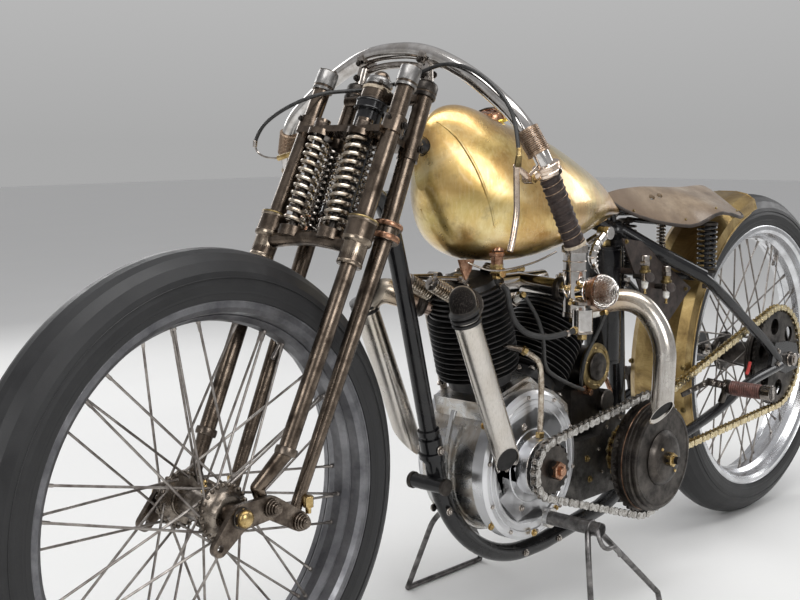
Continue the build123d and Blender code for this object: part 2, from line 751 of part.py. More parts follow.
fender_shell = spun(
    REAR_AXLE,
    [
        (FENDER_LIP_R, FENDER_HALF),
        (359, FENDER_HALF - 4),
        (371, FENDER_HALF - 21),
        (FENDER_R, FENDER_HALF - 45),
        (FENDER_R, -FENDER_HALF + 45),
        (371, -FENDER_HALF + 21),
        (359, -FENDER_HALF + 4),
        (FENDER_LIP_R, -FENDER_HALF),
        (FENDER_LIP_R, -FENDER_HALF + 2.5),
        (357.5, -FENDER_HALF + 6.5),
        (368.8, -FENDER_HALF + 22.5),
        (FENDER_R - 2.5, -FENDER_HALF + 45.5),
        (FENDER_R - 2.5, FENDER_HALF - 45.5),
        (368.8, FENDER_HALF - 22.5),
        (357.5, FENDER_HALF - 6.5),
        (FENDER_LIP_R, FENDER_HALF - 2.5),
    ],
)
FENDER_END_ANGLES = (-19, 77)


def around(centre, radius, degrees):
    turn = math.radians(degrees)
    return (centre.X + radius * math.cos(turn), centre.Z + radius * math.sin(turn))


wedge = [(REAR_AXLE.X, REAR_AXLE.Z)]
for angle in (FENDER_END_ANGLES[0], 8, 32, 56, FENDER_END_ANGLES[1]):
    wedge.append(around(REAR_AXLE, 460, angle))
nodes["rear_fender"] = fender_shell & plate(wedge, -90, 90)

OIL_TANK = Vector(-199, 0, 414)
OIL_TANK_HIGH = 222
nodes["oil_tank"] = fused(
    rod(OIL_TANK, OIL_TANK + Vector(0, 0, OIL_TANK_HIGH), 34),
    rod(OIL_TANK + Vector(6, 0, OIL_TANK_HIGH), OIL_TANK + Vector(6, 0, OIL_TANK_HIGH + 10), 15),
    rod(OIL_TANK - Vector(0, 0, 14), OIL_TANK, 11),
) - rod((-262, 0, 128), SEAT_CLUSTER + Vector(0, 0, 16), CRADLE_R)

# A plate on the left carries two spare spark plugs
PLUG_PLATE = [
    # x, z
    (-169, 655),
    (-235, 645),
    (-420, 540),
    (-325, 474),
    (-272, 492),
]
PLUG_PLATE_Y = 58
nodes["plug_plate"] = fused(
    plate(PLUG_PLATE, PLUG_PLATE_Y, PLUG_PLATE_Y + 3),
    rod((-212, 26, 590), (-212, PLUG_PLATE_Y + 1, 590), 6),
)
PLUG_Y = 84
PLUG_ARM_DOWN = 40.5
PLUG = [
    # from, to, radius, measured down from the top
    (0, 27, 8),
    (27, 33, 10.5),
    (33, 48, 8),
    (48, 62, 6.5),
    (62, 72, 2.8),
]
plug_profile = [(0, 0)]
for low, high, radius in PLUG:
    plug_profile += [(radius, -low), (radius, -high)]
plug_profile.append((0, -PLUG[-1][1]))
spare = []
for x, top in ((-211, 622), (-287, 596)):
    outline = Wire.make_polygon([(radius, 0, z) for radius, z in plug_profile])
    plug = revolve(Face(outline), Axis.Z).moved(Location((x, PLUG_Y, top)))
    arm_high = top - PLUG_ARM_DOWN
    spare.append(fused(plug, rod((x, PLUG_PLATE_Y + 2, arm_high), (x, PLUG_Y, arm_high), 5)))
nodes["spare_plugs"] = Compound(children=spare)

# Engine. Lean is forward of upright, in degrees, seen from the left.
CASE_R = 118
CASE_HALF = 58
COVER_R = 127


def along(lean, distance, ahead=0.0, side=0.0):
    turn = math.radians(lean)
    axis = Vector(math.sin(turn), 0, math.cos(turn))
    forward = Vector(math.cos(turn), 0, -math.sin(turn))
    return CRANK + axis * distance + forward * ahead + LEFT * side


def on_cylinder(shape, lean, distance, ahead=0.0, side=0.0):
    """A shape drawn upright about the origin, set on a cylinder's axis."""
    return shape.moved(Location(along(lean, distance, ahead, side)) * Rotation(0, lean, 0))


crankcase = fused(
    rod(CRANK - LEFT * CASE_HALF, CRANK + LEFT * CASE_HALF, CASE_R),
    on_cylinder(Solid.make_box(120, 112, 60, Plane(origin=(-60, -56, -30))), FRONT_LEAN, 104),
    on_cylinder(Solid.make_box(120, 112, 60, Plane(origin=(-60, -56, -30))), REAR_LEAN, 104),
    rod((90, -95, 193), (90, 95, 193), 17),
)
nodes["crankcase"] = crankcase
primary_cover = fused(
    rod(CRANK + LEFT * CASE_HALF, CRANK + LEFT * 80, COVER_R),
    taper(CRANK + LEFT * 80, CRANK + LEFT * 85, COVER_R, COVER_R - 6),
    rod(CRANK + LEFT * 85, CRANK + LEFT * 108, 48),
    rod(CRANK + LEFT * 108, CRANK + LEFT * 120, 20),
) - rod((90, 50, 193), (90, 120, 193), 17)
timing_cover = fused(
    rod(CRANK - LEFT * 86, CRANK - LEFT * CASE_HALF, 96),
    rod(along(FRONT_LEAN, 70, 0, -92), along(FRONT_LEAN, 70, 0, -CASE_HALF), 46),
    rod(along(REAR_LEAN, 70, 0, -92), along(REAR_LEAN, 70, 0, -CASE_HALF), 46),
) - rod((90, -120, 193), (90, -50, 193), 17)
nodes["case_covers"] = Compound(children=[primary_cover, timing_cover])

HALF_VEE_SINE = math.sin(math.radians(FRONT_LEAN - REAR_LEAN) / 2)
BARREL_LOW = 144
FIN_PITCH = 9.2
FIN_COUNT = 12
FIN_R = 71
barrels = []
for lean in (FRONT_LEAN, REAR_LEAN):
    profile = [(0, -16), (54, -16), (54, 0)]
    for k in range(FIN_COUNT):
        z = 4 + k * FIN_PITCH
        reach = min(FIN_R, (BARREL_LOW + 16 + z) * HALF_VEE_SINE - 1)
        profile += [(48, z), (reach, z + 0.8), (reach, z + 2.4), (48, z + 3.4)]
    profile += [(48, 4 + FIN_COUNT * FIN_PITCH), (0, 4 + FIN_COUNT * FIN_PITCH)]
    outline = Wire.make_polygon([(radius, 0, z) for radius, z in profile])
    barrels.append(on_cylinder(revolve(Face(outline), Axis.Z), lean, BARREL_LOW + 16))
HEAD_LOW = BARREL_LOW + 20 + FIN_COUNT * FIN_PITCH
nodes["cylinders"] = Compound(children=barrels)

heads = []
for lean in (FRONT_LEAN, REAR_LEAN):
    profile = [(0, 0)]
    for k in range(5):
        z = k * 9.0
        profile += [(60, z), (66, z), (66, z + 3.0), (56, z + 3.6)]
    profile += [(52, 48), (30, 58), (0, 58)]
    outline = Wire.make_polygon([(radius, 0, z) for radius, z in profile])
    dome = on_cylinder(revolve(Face(outline), Axis.Z), lean, HEAD_LOW)
    heads.append(dome)
nodes["cylinder_heads"] = Compound(children=heads)

VALVE_SPRINGS = [
    # lean, ahead at foot, side, up at foot, ahead at tip, up at tip, coil radius
    (FRONT_LEAN, 58, 25, 44, 102, 82, 12.5),
    (FRONT_LEAN, 58, -25, 44, 102, 82, 12.5),
    (FRONT_LEAN, -34, 24, 54, -44, 60, 10.5),
    (REAR_LEAN, -52, 20, 46, -82, 70, 12.5),
    (REAR_LEAN, -52, -20, 46, -82, 70, 12.5),
    (REAR_LEAN, 34, 24, 54, 46, 68, 10.5),
]
valve_springs = []
for lean, foot_ahead, side, foot_up, tip_ahead, tip_up, coil in VALVE_SPRINGS:
    foot = along(lean, HEAD_LOW + foot_up, foot_ahead, side)
    tip = along(lean, HEAD_LOW + tip_up, tip_ahead, side)
    valve_springs.append(ringed_spring(foot, tip, coil, 2.2, 8))
nodes["valve_springs"] = Compound(children=valve_springs)

CARB = Vector(63, 118, 583)
INTAKE = Vector(CARB.X, 0, 591)
carburettor = fused(
    rod(CARB - Vector(0, 0, 40), CARB + Vector(0, 0, 71), 19),
    rod(CARB + Vector(0, 0, 71), CARB + Vector(0, 0, 75), 21),
    rod(CARB + Vector(8, 22, -66), CARB + Vector(8, 22, -27), 17),
    rod(INTAKE, CARB, 17),
    rod(INTAKE - Vector(68, 0, 0), INTAKE + Vector(77, 0, 0), 17),
)
nodes["carburettor"] = carburettor
# The air horn: a flared throat, a band and a domed gauze screen
HORN_AIM = Vector(62, 173, 587)
bell_dir = (HORN_AIM - CARB).normalized()
SCREEN_R = 28.5
BAND_START = 31
BAND_END = 53
band_end = CARB + bell_dir * BAND_END
bell = fused(
    taper(CARB + bell_dir * 12, CARB + bell_dir * BAND_START, 18, 21.5),
    taper(CARB + bell_dir * BAND_START, band_end, 22.5, 27),
)
bell -= rod(CARB + bell_dir * 27, CARB + bell_dir * 70, 15)
nodes["air_bell"] = bell - rod(CARB - Vector(0, 0, 50), CARB + Vector(0, 0, 80), 19)
screen = ball(band_end, SCREEN_R) - ball(band_end, SCREEN_R - 1.5)
nodes["bell_screen"] = screen - rod(band_end - bell_dir * 40, band_end, 40)
PIPE_WALL = 1.6


def pipe(points, radius, cut_origin, cut_normal):
    """A hollow pipe whose end is cut off beyond a slanted plane."""
    hollow = tube(points, radius) - tube(points, radius - PIPE_WALL)
    return hollow - Solid.make_cylinder(60, 60, Plane(origin=cut_origin, z_dir=cut_normal))


FRONT_PIPE_R = 21
FRONT_PIPE = [Vector(248, 40, 570), Vector(351, 108, 609), Vector(222, 108, 304)]
FRONT_PIPE_CUT = Vector(230, 108, 323)
REAR_PIPE_R = 20
REAR_PIPE = [
    Vector(-45, 46, 540),
    Vector(-102, 138, 561),
    Vector(-112, 190, 490),
    Vector(-100, 190, 330),
]
REAR_PIPE_CUT = Vector(-101, 190, 359)
PIPE_END_FACES = Vector(0.2, 0.75, -0.63)
front_pipe = pipe(FRONT_PIPE, FRONT_PIPE_R, FRONT_PIPE_CUT, PIPE_END_FACES)
rear_pipe = pipe(REAR_PIPE, REAR_PIPE_R, REAR_PIPE_CUT, PIPE_END_FACES)
nodes["exhaust_pipes"] = Compound(
    children=[front_pipe, rear_pipe, mirrored(front_pipe), mirrored(rear_pipe)]
)
MAGNETO = Vector(-100, 0, 425)
MAGNETO_BASE = (-78, 4, 351.5)
nodes["magneto"] = fused(
    rod(MAGNETO - LEFT * 40, MAGNETO + LEFT * 46, 36),
    rod(MAGNETO + LEFT * 46, MAGNETO + LEFT * 54, 42),
    rod((-132, 20, 357), (-132, 58, 357), 20),
    block(MAGNETO_BASE, (90, 84, 77)),
)

gearbox = fused(
    rod(MAINSHAFT - LEFT * 66, MAINSHAFT + LEFT * 62, 66),
    block((-93, -2, 242), (126, 128, 112)),
    rod(MAINSHAFT + LEFT * 62, MAINSHAFT + LEFT * 70, 22),
)
nodes["gearbox"] = gearbox - rod(CRANK - LEFT * 130, CRANK + LEFT * 130, COVER_R + 0.5)

CHAIN_PITCH = 15.875
CLUTCH_TEETH = 44
ENGINE_TEETH = 19


def pitch_radius(teeth):
    return CHAIN_PITCH / 2 / math.sin(math.pi / teeth)


CLUTCH_RING_R = pitch_radius(CLUTCH_TEETH)
ENGINE_RING_R = pitch_radius(ENGINE_TEETH)
clutch = fused(
    toothed(
        MAINSHAFT, CLUTCH_RING_R - 9, CLUTCH_RING_R - 5.2, CLUTCH_TEETH, PRIMARY_Y - 2.5, PRIMARY_Y + 2.5
    ),
    rod(MAINSHAFT + LEFT * 116, MAINSHAFT + LEFT * 152, 98),
    rod(MAINSHAFT + LEFT * 152, MAINSHAFT + LEFT * 162, 93),
    taper(MAINSHAFT + LEFT * 162, MAINSHAFT + LEFT * 174, 48, 40),
    rod(MAINSHAFT + LEFT * 174, MAINSHAFT + LEFT * 182, 12),
    rod(MAINSHAFT + LEFT * 94, MAINSHAFT + LEFT * 196, 7),
)
nodes["clutch"] = clutch
nodes["engine_sprocket"] = fused(
    toothed(CRANK, ENGINE_RING_R - 9, ENGINE_RING_R - 5.2, ENGINE_TEETH, PRIMARY_Y - 2.5, PRIMARY_Y + 2.5),
    rod(CRANK + LEFT * 120, CRANK + LEFT * 138, 15),
)


def belt(first, first_radius, second, second_radius, y_low, y_high):
    """The open belt's outline around two discs, as a solid."""
    run = Vector(second.X - first.X, 0, second.Z - first.Z)
    heading = math.atan2(run.Z, run.X)
    spread = math.acos((first_radius - second_radius) / run.length)
    corners = []
    for centre, radius, sign in (
        (first, first_radius, 1),
        (second, second_radius, 1),
        (second, second_radius, -1),
        (first, first_radius, -1),
    ):
        turn = heading + sign * spread
        corners.append((centre.X + radius * math.cos(turn), centre.Z + radius * math.sin(turn)))
    return fused(
        plate(corners, y_low, y_high),
        rod((first.X, y_low, first.Z), (first.X, y_high, first.Z), first_radius),
        rod((second.X, y_low, second.Z), (second.X, y_high, second.Z), second_radius),
    )


def chain(first, first_radius, second, second_radius, middle_y, width):
    low = middle_y - width / 2
    high = middle_y + width / 2
    return belt(first, first_radius + 6, second, second_radius + 6, low, high) - belt(
        first, first_radius - 5, second, second_radius - 5, low - 1, high + 1
    )


GEARBOX_TEETH = 17
GEARBOX_RING_R = pitch_radius(GEARBOX_TEETH)
WHEEL_RING_R = SPROCKET_R + 5
nodes["primary_chain"] = chain(CRANK, ENGINE_RING_R, MAINSHAFT, CLUTCH_RING_R, PRIMARY_Y, 14)
nodes["final_chain"] = chain(MAINSHAFT, GEARBOX_RING_R, REAR_AXLE, WHEEL_RING_R, FINAL_Y, 16)
nodes["gearbox_sprocket"] = fused(
    toothed(MAINSHAFT, GEARBOX_RING_R - 9, GEARBOX_RING_R - 5.2, GEARBOX_TEETH, FINAL_Y - 3, FINAL_Y + 3),
    rod(MAINSHAFT + LEFT * 70, MAINSHAFT + LEFT * 94, 16),
)

# Foot pegs on straps from the lower stays
peg_inner = Vector(-478, STAY_Y + 10, 336)
peg = fused(
    rod(peg_inner, peg_inner + LEFT * 92, 12.5),
    rod(peg_inner + LEFT * 88, peg_inner + LEFT * 96, 15),
    plate([(-400, 352), (-490, 328), (-494, 342), (-404, 366)], STAY_Y + 2, STAY_Y + 8),
    rod((-478, STAY_Y + 2, 336), peg_inner, 16),
    rod((-470, STAY_Y - 2, 305), (-474, STAY_Y + 6, 334), 7),
)
nodes["foot_pegs"] = Compound(children=[peg, mirrored(peg)])

# Spindle stand under the crankcase
SPINDLE = Vector(90, 0, 193)
ROD_R = 5.0
FRONT_FOOT = Vector(128, 208, ROD_R)
REAR_FOOT = Vector(-85, 208, ROD_R)


def stand_side(spindle_end, splay):
    """One side's rods: spindle, front rod, bent rear rod and the bar on the ground."""
    knee = Vector(-80, 202, 40)
    return fused(
        rod(SPINDLE + LEFT * 95, SPINDLE + LEFT * spindle_end, 12),
        tube([SPINDLE + Vector(6, spindle_end - 24, 0), Vector(128, splay, 158), FRONT_FOOT], ROD_R),
        rod(SPINDLE + Vector(0, spindle_end - 8, 0), knee, ROD_R),
        ball(knee, ROD_R),
        rod(knee, REAR_FOOT, ROD_R),
        rod(FRONT_FOOT, REAR_FOOT, ROD_R),
        ball(FRONT_FOOT, ROD_R),
        ball(REAR_FOOT, ROD_R),
    )


nodes["stand"] = Compound(children=[stand_side(196, 196), mirrored(stand_side(122, 140))])
os.makedirs("parts", exist_ok=True)
for name, shape in nodes.items():
    shape.label = name
    export_step(shape, f"parts/{name}.step")
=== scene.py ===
import math

import bmesh
import bpy
from mathutils import Matrix, Vector


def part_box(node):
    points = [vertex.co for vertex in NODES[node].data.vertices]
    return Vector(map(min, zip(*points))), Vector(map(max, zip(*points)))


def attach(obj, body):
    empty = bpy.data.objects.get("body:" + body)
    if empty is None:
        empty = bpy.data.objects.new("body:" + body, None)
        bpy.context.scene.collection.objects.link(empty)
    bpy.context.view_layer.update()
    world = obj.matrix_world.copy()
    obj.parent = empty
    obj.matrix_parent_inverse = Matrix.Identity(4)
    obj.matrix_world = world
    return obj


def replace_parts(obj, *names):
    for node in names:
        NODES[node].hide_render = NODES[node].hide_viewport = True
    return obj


# A rigid-framed chopper with a V-twin engine and a springer fork, dressed over its construction.
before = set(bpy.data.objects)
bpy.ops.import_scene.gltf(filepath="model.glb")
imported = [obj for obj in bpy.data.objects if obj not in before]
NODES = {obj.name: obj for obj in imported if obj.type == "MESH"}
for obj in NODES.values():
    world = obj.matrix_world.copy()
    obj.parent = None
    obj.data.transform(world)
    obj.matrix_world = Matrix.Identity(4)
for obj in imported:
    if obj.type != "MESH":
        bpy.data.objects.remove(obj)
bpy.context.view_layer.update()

MM = 0.001
LEFT = Vector((0, 1, 0))
RIGHT = Vector((0, -1, 0))
UP = Vector((0, 0, 1))
DOWN = Vector((0, 0, -1))
FORWARD = Vector((1, 0, 0))


def mm(x, y, z):
    """A place on the machine, given in millimetres."""
    return Vector((x, y, z)) * MM


def middle(node):
    low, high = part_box(node)
    return (low + high) / 2


def right_side(point):
    return Vector((point.x, -point.y, point.z))


def beside(centre, y):
    """The place y millimetres to the left of a centre."""
    return centre + mm(0, y, 0)


def part_way(start, end, share):
    return start + (end - start) * share


# Modelling steps


def clear_selection():
    bpy.ops.object.select_all(action="DESELECT")


def pick(*pieces):
    clear_selection()
    for piece in pieces:
        piece.select_set(True)
    bpy.context.view_layer.objects.active = pieces[0]


def link_in(name, data):
    """A new object for some data, put in the scene."""
    piece = bpy.data.objects.new(name, data)
    bpy.context.scene.collection.objects.link(piece)
    return piece


def twin_of(piece):
    return link_in(piece.name, piece.data.copy())


def open_mesh():
    """Starts editing the active piece, with all of it selected."""
    bpy.ops.object.mode_set(mode="EDIT")
    bpy.ops.mesh.select_all(action="SELECT")


def close_mesh():
    """Turns every face outwards and ends the editing."""
    bpy.ops.mesh.select_all(action="SELECT")
    bpy.ops.mesh.normals_make_consistent(inside=False)
    bpy.ops.object.mode_set(mode="OBJECT")


def drawn_out(x, y, z):
    """Extrudes the selection by a step in metres."""
    bpy.ops.mesh.extrude_region_move(TRANSFORM_OT_translate={"value": (x, y, z)})


def worked(piece, kind, **settings):
    """Applies a modifier to the piece."""
    pick(piece)
    step = piece.modifiers.new("step", kind)
    for key, value in settings.items():
        setattr(step, key, value)
    bpy.ops.object.modifier_apply(modifier="step")


def settle():
    """The picked piece's place goes into its mesh."""
    bpy.ops.object.transform_apply(location=True, rotation=True, scale=True)


def choose(piece, test):
    """In edit mode, selects the vertices that pass the test."""
    bpy.ops.mesh.select_mode(type="VERT")
    bpy.ops.mesh.select_all(action="DESELECT")
    mesh = bmesh.from_edit_mesh(piece.data)
    for vertex in mesh.verts:
        vertex.select_set(test(vertex.co))
    mesh.select_flush(True)
    bmesh.update_edit_mesh(piece.data)


def turned(profile, sides=24):
    """A solid turned about Z, from (height, radius) steps in millimetres."""
    clear_selection()
    height, radius = profile[0]
    bpy.ops.mesh.primitive_circle_add(
        vertices=sides, radius=radius * MM, fill_type="NGON", location=(0, 0, height * MM)
    )
    piece = bpy.context.object
    settle()
    open_mesh()
    for (low, before), (high, after) in zip(profile, profile[1:]):
        drawn_out(0, 0, (high - low) * MM)
        size = after / before
        bpy.ops.transform.resize(value=(size, size, 1), center_override=(0, 0, high * MM))
    close_mesh()
    return piece


def aimed(piece, start, direction):
    """Stands a piece that points up Z at start, pointing the given way."""
    pick(piece)
    piece.rotation_mode = "QUATERNION"
    piece.rotation_quaternion = direction.to_track_quat("Z", "Y")
    piece.location = start
    settle()
    return piece


def painted(piece, finish):
    piece.data.materials.clear()
    piece.data.materials.append(paint[finish])
    return piece


def joined(pieces):
    pick(*pieces)
    if len(pieces) > 1:
        bpy.ops.object.join()
    return bpy.context.object


def copies(master, spots):
    """A copy of the master at each (place, direction, size), joined; the master goes."""
    made = []
    for place, direction, size in spots:
        twin = twin_of(master)
        twin.matrix_world = Matrix.LocRotScale(
            place, direction.to_track_quat("Z", "Y"), Vector((size, size, size))
        )
        made.append(twin)
    bpy.data.objects.remove(master)
    whole = joined(made)
    settle()
    return whole


def both_sides(*pieces):
    """The pieces and their mirror image on the other side of the machine, joined."""
    piece = joined(list(pieces))
    twin = twin_of(piece)
    twin.data.transform(Matrix.Scale(-1, 4, LEFT))
    twin.data.flip_normals()
    return joined([piece, twin])


def fitted(name, body, slot, *pieces, smooth=35):
    """Joins pieces into one named piece that rides on a body."""
    piece = joined(list(pieces))
    settle()
    bpy.ops.object.shade_smooth_by_angle(angle=math.radians(smooth))
    piece.name = name
    piece.data.name = name
    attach(piece, body)
    return piece


def rod(start, end, radius, end_radius=None, sides=20):
    """A bar between two places, its ends eased; radii in millimetres."""
    end_radius = end_radius or radius
    length = (end - start).length / MM
    lip = min(0.6, radius * 0.4, end_radius * 0.4, length * 0.3)
    steps = [(0, radius - lip), (lip, radius), (length - lip, end_radius), (length, end_radius - lip)]
    return aimed(turned(steps, sides), start, end - start)


def wire(places, radius, closed=False, sizes=None):
    """A round wire bent through the places; radius in millimetres, sizes scale it at each point."""
    curve = bpy.data.curves.new("wire", "CURVE")
    curve.dimensions = "3D"
    spline = curve.splines.new("NURBS")
    spline.points.add(len(places) - 1)
    for k, (point, place) in enumerate(zip(spline.points, places)):
        point.co = (*place, 1)
        point.radius = sizes[k] if sizes else 1
    spline.order_u = 3
    spline.use_endpoint_u = not closed
    spline.use_cyclic_u = closed
    spline.resolution_u = 8
    curve.bevel_depth = radius * MM
    curve.bevel_resolution = 3
    curve.use_fill_caps = True
    pick(link_in("wire", curve))
    bpy.ops.object.convert(target="MESH")
    return bpy.context.object


def coil(start, end, radius, thickness, turns, sides=8, steps=20):
    """A helical spring, closed at its ends; radius to the wire's outside, in millimetres."""
    clear_selection()
    reach = (radius - thickness) * MM
    bpy.ops.mesh.primitive_circle_add(
        vertices=sides, radius=thickness * MM, location=(reach, 0, 0), rotation=(math.pi / 2, 0, 0)
    )
    piece = bpy.context.object
    settle()
    length = (end - start).length - 2 * thickness * MM
    worked(
        piece, "SCREW", axis="Z", angle=2 * math.pi, iterations=turns, screw_offset=length / turns,
        steps=steps, render_steps=steps,
    )
    open_mesh()
    bpy.ops.mesh.remove_doubles(threshold=0.00002)
    bpy.ops.mesh.fill_holes(sides=0)
    close_mesh()
    direction = (end - start).normalized()
    return aimed(piece, start + direction * thickness * MM, direction)


def hoop(centre, direction, radius, thickness, sides=48, round_sides=8):
    """A round bead on a circle; both radii in millimetres."""
    clear_selection()
    bpy.ops.mesh.primitive_torus_add(
        major_radius=radius * MM, minor_radius=thickness * MM, major_segments=sides,
        minor_segments=round_sides,
    )
    return aimed(bpy.context.object, centre, direction)


def cut_plate(outline, y_low, y_high, ease=0.8):
    """A flat plate lying across Y with eased edges, from (x, z) corners in millimetres."""
    clear_selection()
    bpy.ops.mesh.primitive_circle_add(vertices=len(outline), radius=0.01, fill_type="NGON")
    piece = bpy.context.object
    for vertex, (x, z) in zip(piece.data.vertices, outline):
        vertex.co = mm(x, y_low, z)
    open_mesh()
    drawn_out(0, (y_high - y_low) * MM, 0)
    bpy.ops.mesh.select_all(action="SELECT")
    bpy.ops.mesh.normals_make_consistent(inside=False)
    bpy.ops.mesh.bevel(offset=ease * MM, segments=2, affect="EDGES")
    bpy.ops.object.mode_set(mode="OBJECT")
    return piece


def hex_bolt():
    """A washer, a hexagon head and the stud's end, for a head of 1 mm radius."""
    return joined([
        turned([(0, 1.2), (0.12, 1.28), (0.3, 1.28), (0.36, 1.2)], 18),
        turned([(0.34, 0.92), (0.44, 1.0), (0.92, 1.0), (1.04, 0.86)], 6),
        turned([(1.0, 0.5), (1.2, 0.5), (1.32, 0.38)], 12),
    ])


def cheese_screw():
    """A round-headed screw of 1 mm radius."""
    return turned([(0, 1.0), (0.5, 1.0), (0.75, 0.9), (0.85, 0.6), (0.7, 0.42), (0.72, 0.05)], 16)


def lathe(finish, profile, place, direction, sides=24):
    return painted(aimed(turned(profile, sides), place, direction), finish)


def bar(finish, *sizes):
    return painted(rod(*sizes), finish)


def bead(finish, *sizes):
    return painted(hoop(*sizes), finish)


def strand(finish, places, radius, **settings):
    return painted(wire(places, radius, **settings), finish)


def spring(finish, *sizes):
    return painted(coil(*sizes), finish)


def route(*points):
    return [mm(*point) for point in points]


def bolts(finish, rows, master=hex_bolt):
    """Bolts from (x, y, z, direction, head radius) rows in millimetres."""
    spots = [(mm(x, y, z), direction, radius) for x, y, z, direction, radius in rows]
    return painted(copies(master(), spots), finish)


def ring_of(centre, radius, count, y, size, direction, start=0.0):
    """Rows of bolts on a circle about an axle, at the given y."""
    rows = []
    for k in range(count):
        turn = math.radians(start + 360 * k / count)
        rows.append((
            centre.x / MM + radius * math.cos(turn), y, centre.z / MM + radius * math.sin(turn), direction,
            size,
        ))
    return rows


# Finishes


paint = {}


class Finish:
    """A surface finish whose patterns lie on the machine's own coordinates."""

    def __init__(self, name, metal=1.0, **sockets):
        paint[name] = bpy.data.materials.new(name)
        paint[name].use_nodes = True
        self.tree = paint[name].node_tree
        self.shader = self.tree.nodes["Principled BSDF"]
        self.shader.inputs["Metallic"].default_value = metal
        for socket, value in sockets.items():
            self.shader.inputs[socket.replace("_", " ")].default_value = value
        self.place = self.add("ShaderNodeTexCoord").outputs["Object"]

    def add(self, kind, **settings):
        node = self.tree.nodes.new(kind)
        for key, value in settings.items():
            setattr(node, key, value)
        return node

    def link(self, source, socket):
        self.tree.links.new(source, socket)

    def laid(self, centre=(0, 0, 0), turn=(0, 0, 0), stretch=(1, 1, 1)):
        """Coordinates about a centre, turned, with features stretched along their axes."""
        mapping = self.add("ShaderNodeMapping", vector_type="TEXTURE")
        mapping.inputs["Location"].default_value = centre
        mapping.inputs["Rotation"].default_value = turn
        mapping.inputs["Scale"].default_value = stretch
        self.link(self.place, mapping.inputs["Vector"])
        return mapping.outputs["Vector"]

    def clouds(self, size, detail=5.0, place=None, uneven=0.6, swirl=0.0):
        """Cloudy patches of about the given size in metres, from 0 to 1."""
        noise = self.add("ShaderNodeTexNoise")
        noise.inputs["Scale"].default_value = 1 / size
        noise.inputs["Detail"].default_value = detail
        noise.inputs["Roughness"].default_value = uneven
        noise.inputs["Distortion"].default_value = swirl
        self.link(place or self.place, noise.inputs["Vector"])
        return noise.outputs["Fac"]

    def cells(self, size):
        """Distance from the middle of small cells, as on leather."""
        cell = self.add("ShaderNodeTexVoronoi")
        cell.inputs["Scale"].default_value = 1 / size
        self.link(self.place, cell.inputs["Vector"])
        return cell.outputs["Distance"]

    def reach(self, centre, stretch=(1, 1, 1)):
        """Distance from a place, in metres."""
        length = self.add("ShaderNodeVectorMath", operation="LENGTH")
        self.link(self.laid(centre, stretch=stretch), length.inputs[0])
        return length.outputs["Value"]

    def between(self, value, low, high, start=0.32, end=0.68):
        """The value, start to end, as low to high."""
        spread = self.add("ShaderNodeMapRange")
        spread.inputs["From Min"].default_value = start
        spread.inputs["From Max"].default_value = end
        spread.inputs["To Min"].default_value = low
        spread.inputs["To Max"].default_value = high
        self.link(value, spread.inputs["Value"])
        return spread.outputs["Result"]

    def ramp(self, value, stops):
        """Colours at stops of the value."""
        node = self.add("ShaderNodeValToRGB")
        edge = node.color_ramp.elements
        while len(edge) < len(stops):
            edge.new(0.5)
        for element, (position, colour) in zip(edge, stops):
            element.position = position
            element.color = (*colour, 1)
        self.link(value, node.inputs["Fac"])
        return node.outputs["Color"]

    def mixed(self, share, first, second):
        node = self.add("ShaderNodeMix", data_type="RGBA")
        self.link(share, node.inputs[0])
        for source, socket in ((first, node.inputs[6]), (second, node.inputs[7])):
            if isinstance(source, tuple):
                socket.default_value = (*source, 1)
            else:
                self.link(source, socket)
        return node.outputs[2]

    def colour(self, source):
        self.link(source, self.shader.inputs["Base Color"])

    def roughness(self, source):
        self.link(source, self.shader.inputs["Roughness"])

    def relief(self, height, strength, depth):
        bump = self.add("ShaderNodeBump")
        bump.inputs["Strength"].default_value = strength
        bump.inputs["Distance"].default_value = depth
        self.link(height, bump.inputs["Height"])
        self.link(bump.outputs["Normal"], self.shader.inputs["Normal"])


def worn_metal(
    name, dark, light, gloss=(0.2, 0.45), patch=0.03, grain=0.0015, along=(1, 1, 1), metal=1.0, relief=0.15,
    turn=(0, 0, 0), **sockets,
):
    """Bare or plated metal with darker patches, fine streaks and uneven gloss."""
    finish = Finish(name, metal, **sockets)
    patches = finish.clouds(patch, 6, uneven=0.65)
    streaks = finish.clouds(grain, 4, finish.laid(turn=turn, stretch=along))
    body = finish.ramp(patches, [(0.34, dark), (0.66, light)])
    finish.colour(finish.mixed(finish.between(streaks, 0.0, 0.45, 0.55, 0.75), body, dark))
    finish.roughness(finish.between(patches, gloss[1], gloss[0]))
    finish.relief(streaks, relief, 0.0006)


def tyre_rubber(name, centre):
    """Dull rubber, dustier in patches, with fine rings round the wheel."""
    finish = Finish(name, 0.0, Specular_IOR_Level=0.35)
    flat = finish.laid(centre, stretch=(1, 1000, 1))
    radius = finish.add("ShaderNodeVectorMath", operation="LENGTH")
    finish.link(flat, radius.inputs[0])
    rings = finish.add("ShaderNodeMath", operation="SINE")
    tight = finish.add("ShaderNodeMath", operation="MULTIPLY")
    tight.inputs[1].default_value = 1500
    finish.link(radius.outputs["Value"], tight.inputs[0])
    finish.link(tight.outputs[0], rings.inputs[0])
    dust = finish.clouds(0.05, 7)
    grain = finish.clouds(0.0012, 3)
    body = finish.ramp(
        dust, [(0.3, (0.009, 0.009, 0.010)), (0.62, (0.017, 0.017, 0.018)), (0.8, (0.034, 0.033, 0.032))]
    )
    finish.colour(finish.mixed(finish.between(grain, 0.0, 0.2), body, (0.045, 0.044, 0.042)))
    finish.roughness(finish.between(dust, 0.36, 0.55))
    height = finish.add("ShaderNodeMath", operation="MULTIPLY_ADD")
    finish.link(rings.outputs[0], height.inputs[0])
    height.inputs[1].default_value = 0.05
    finish.link(grain, height.inputs[2])
    finish.relief(height.outputs[0], 0.22, 0.0005)


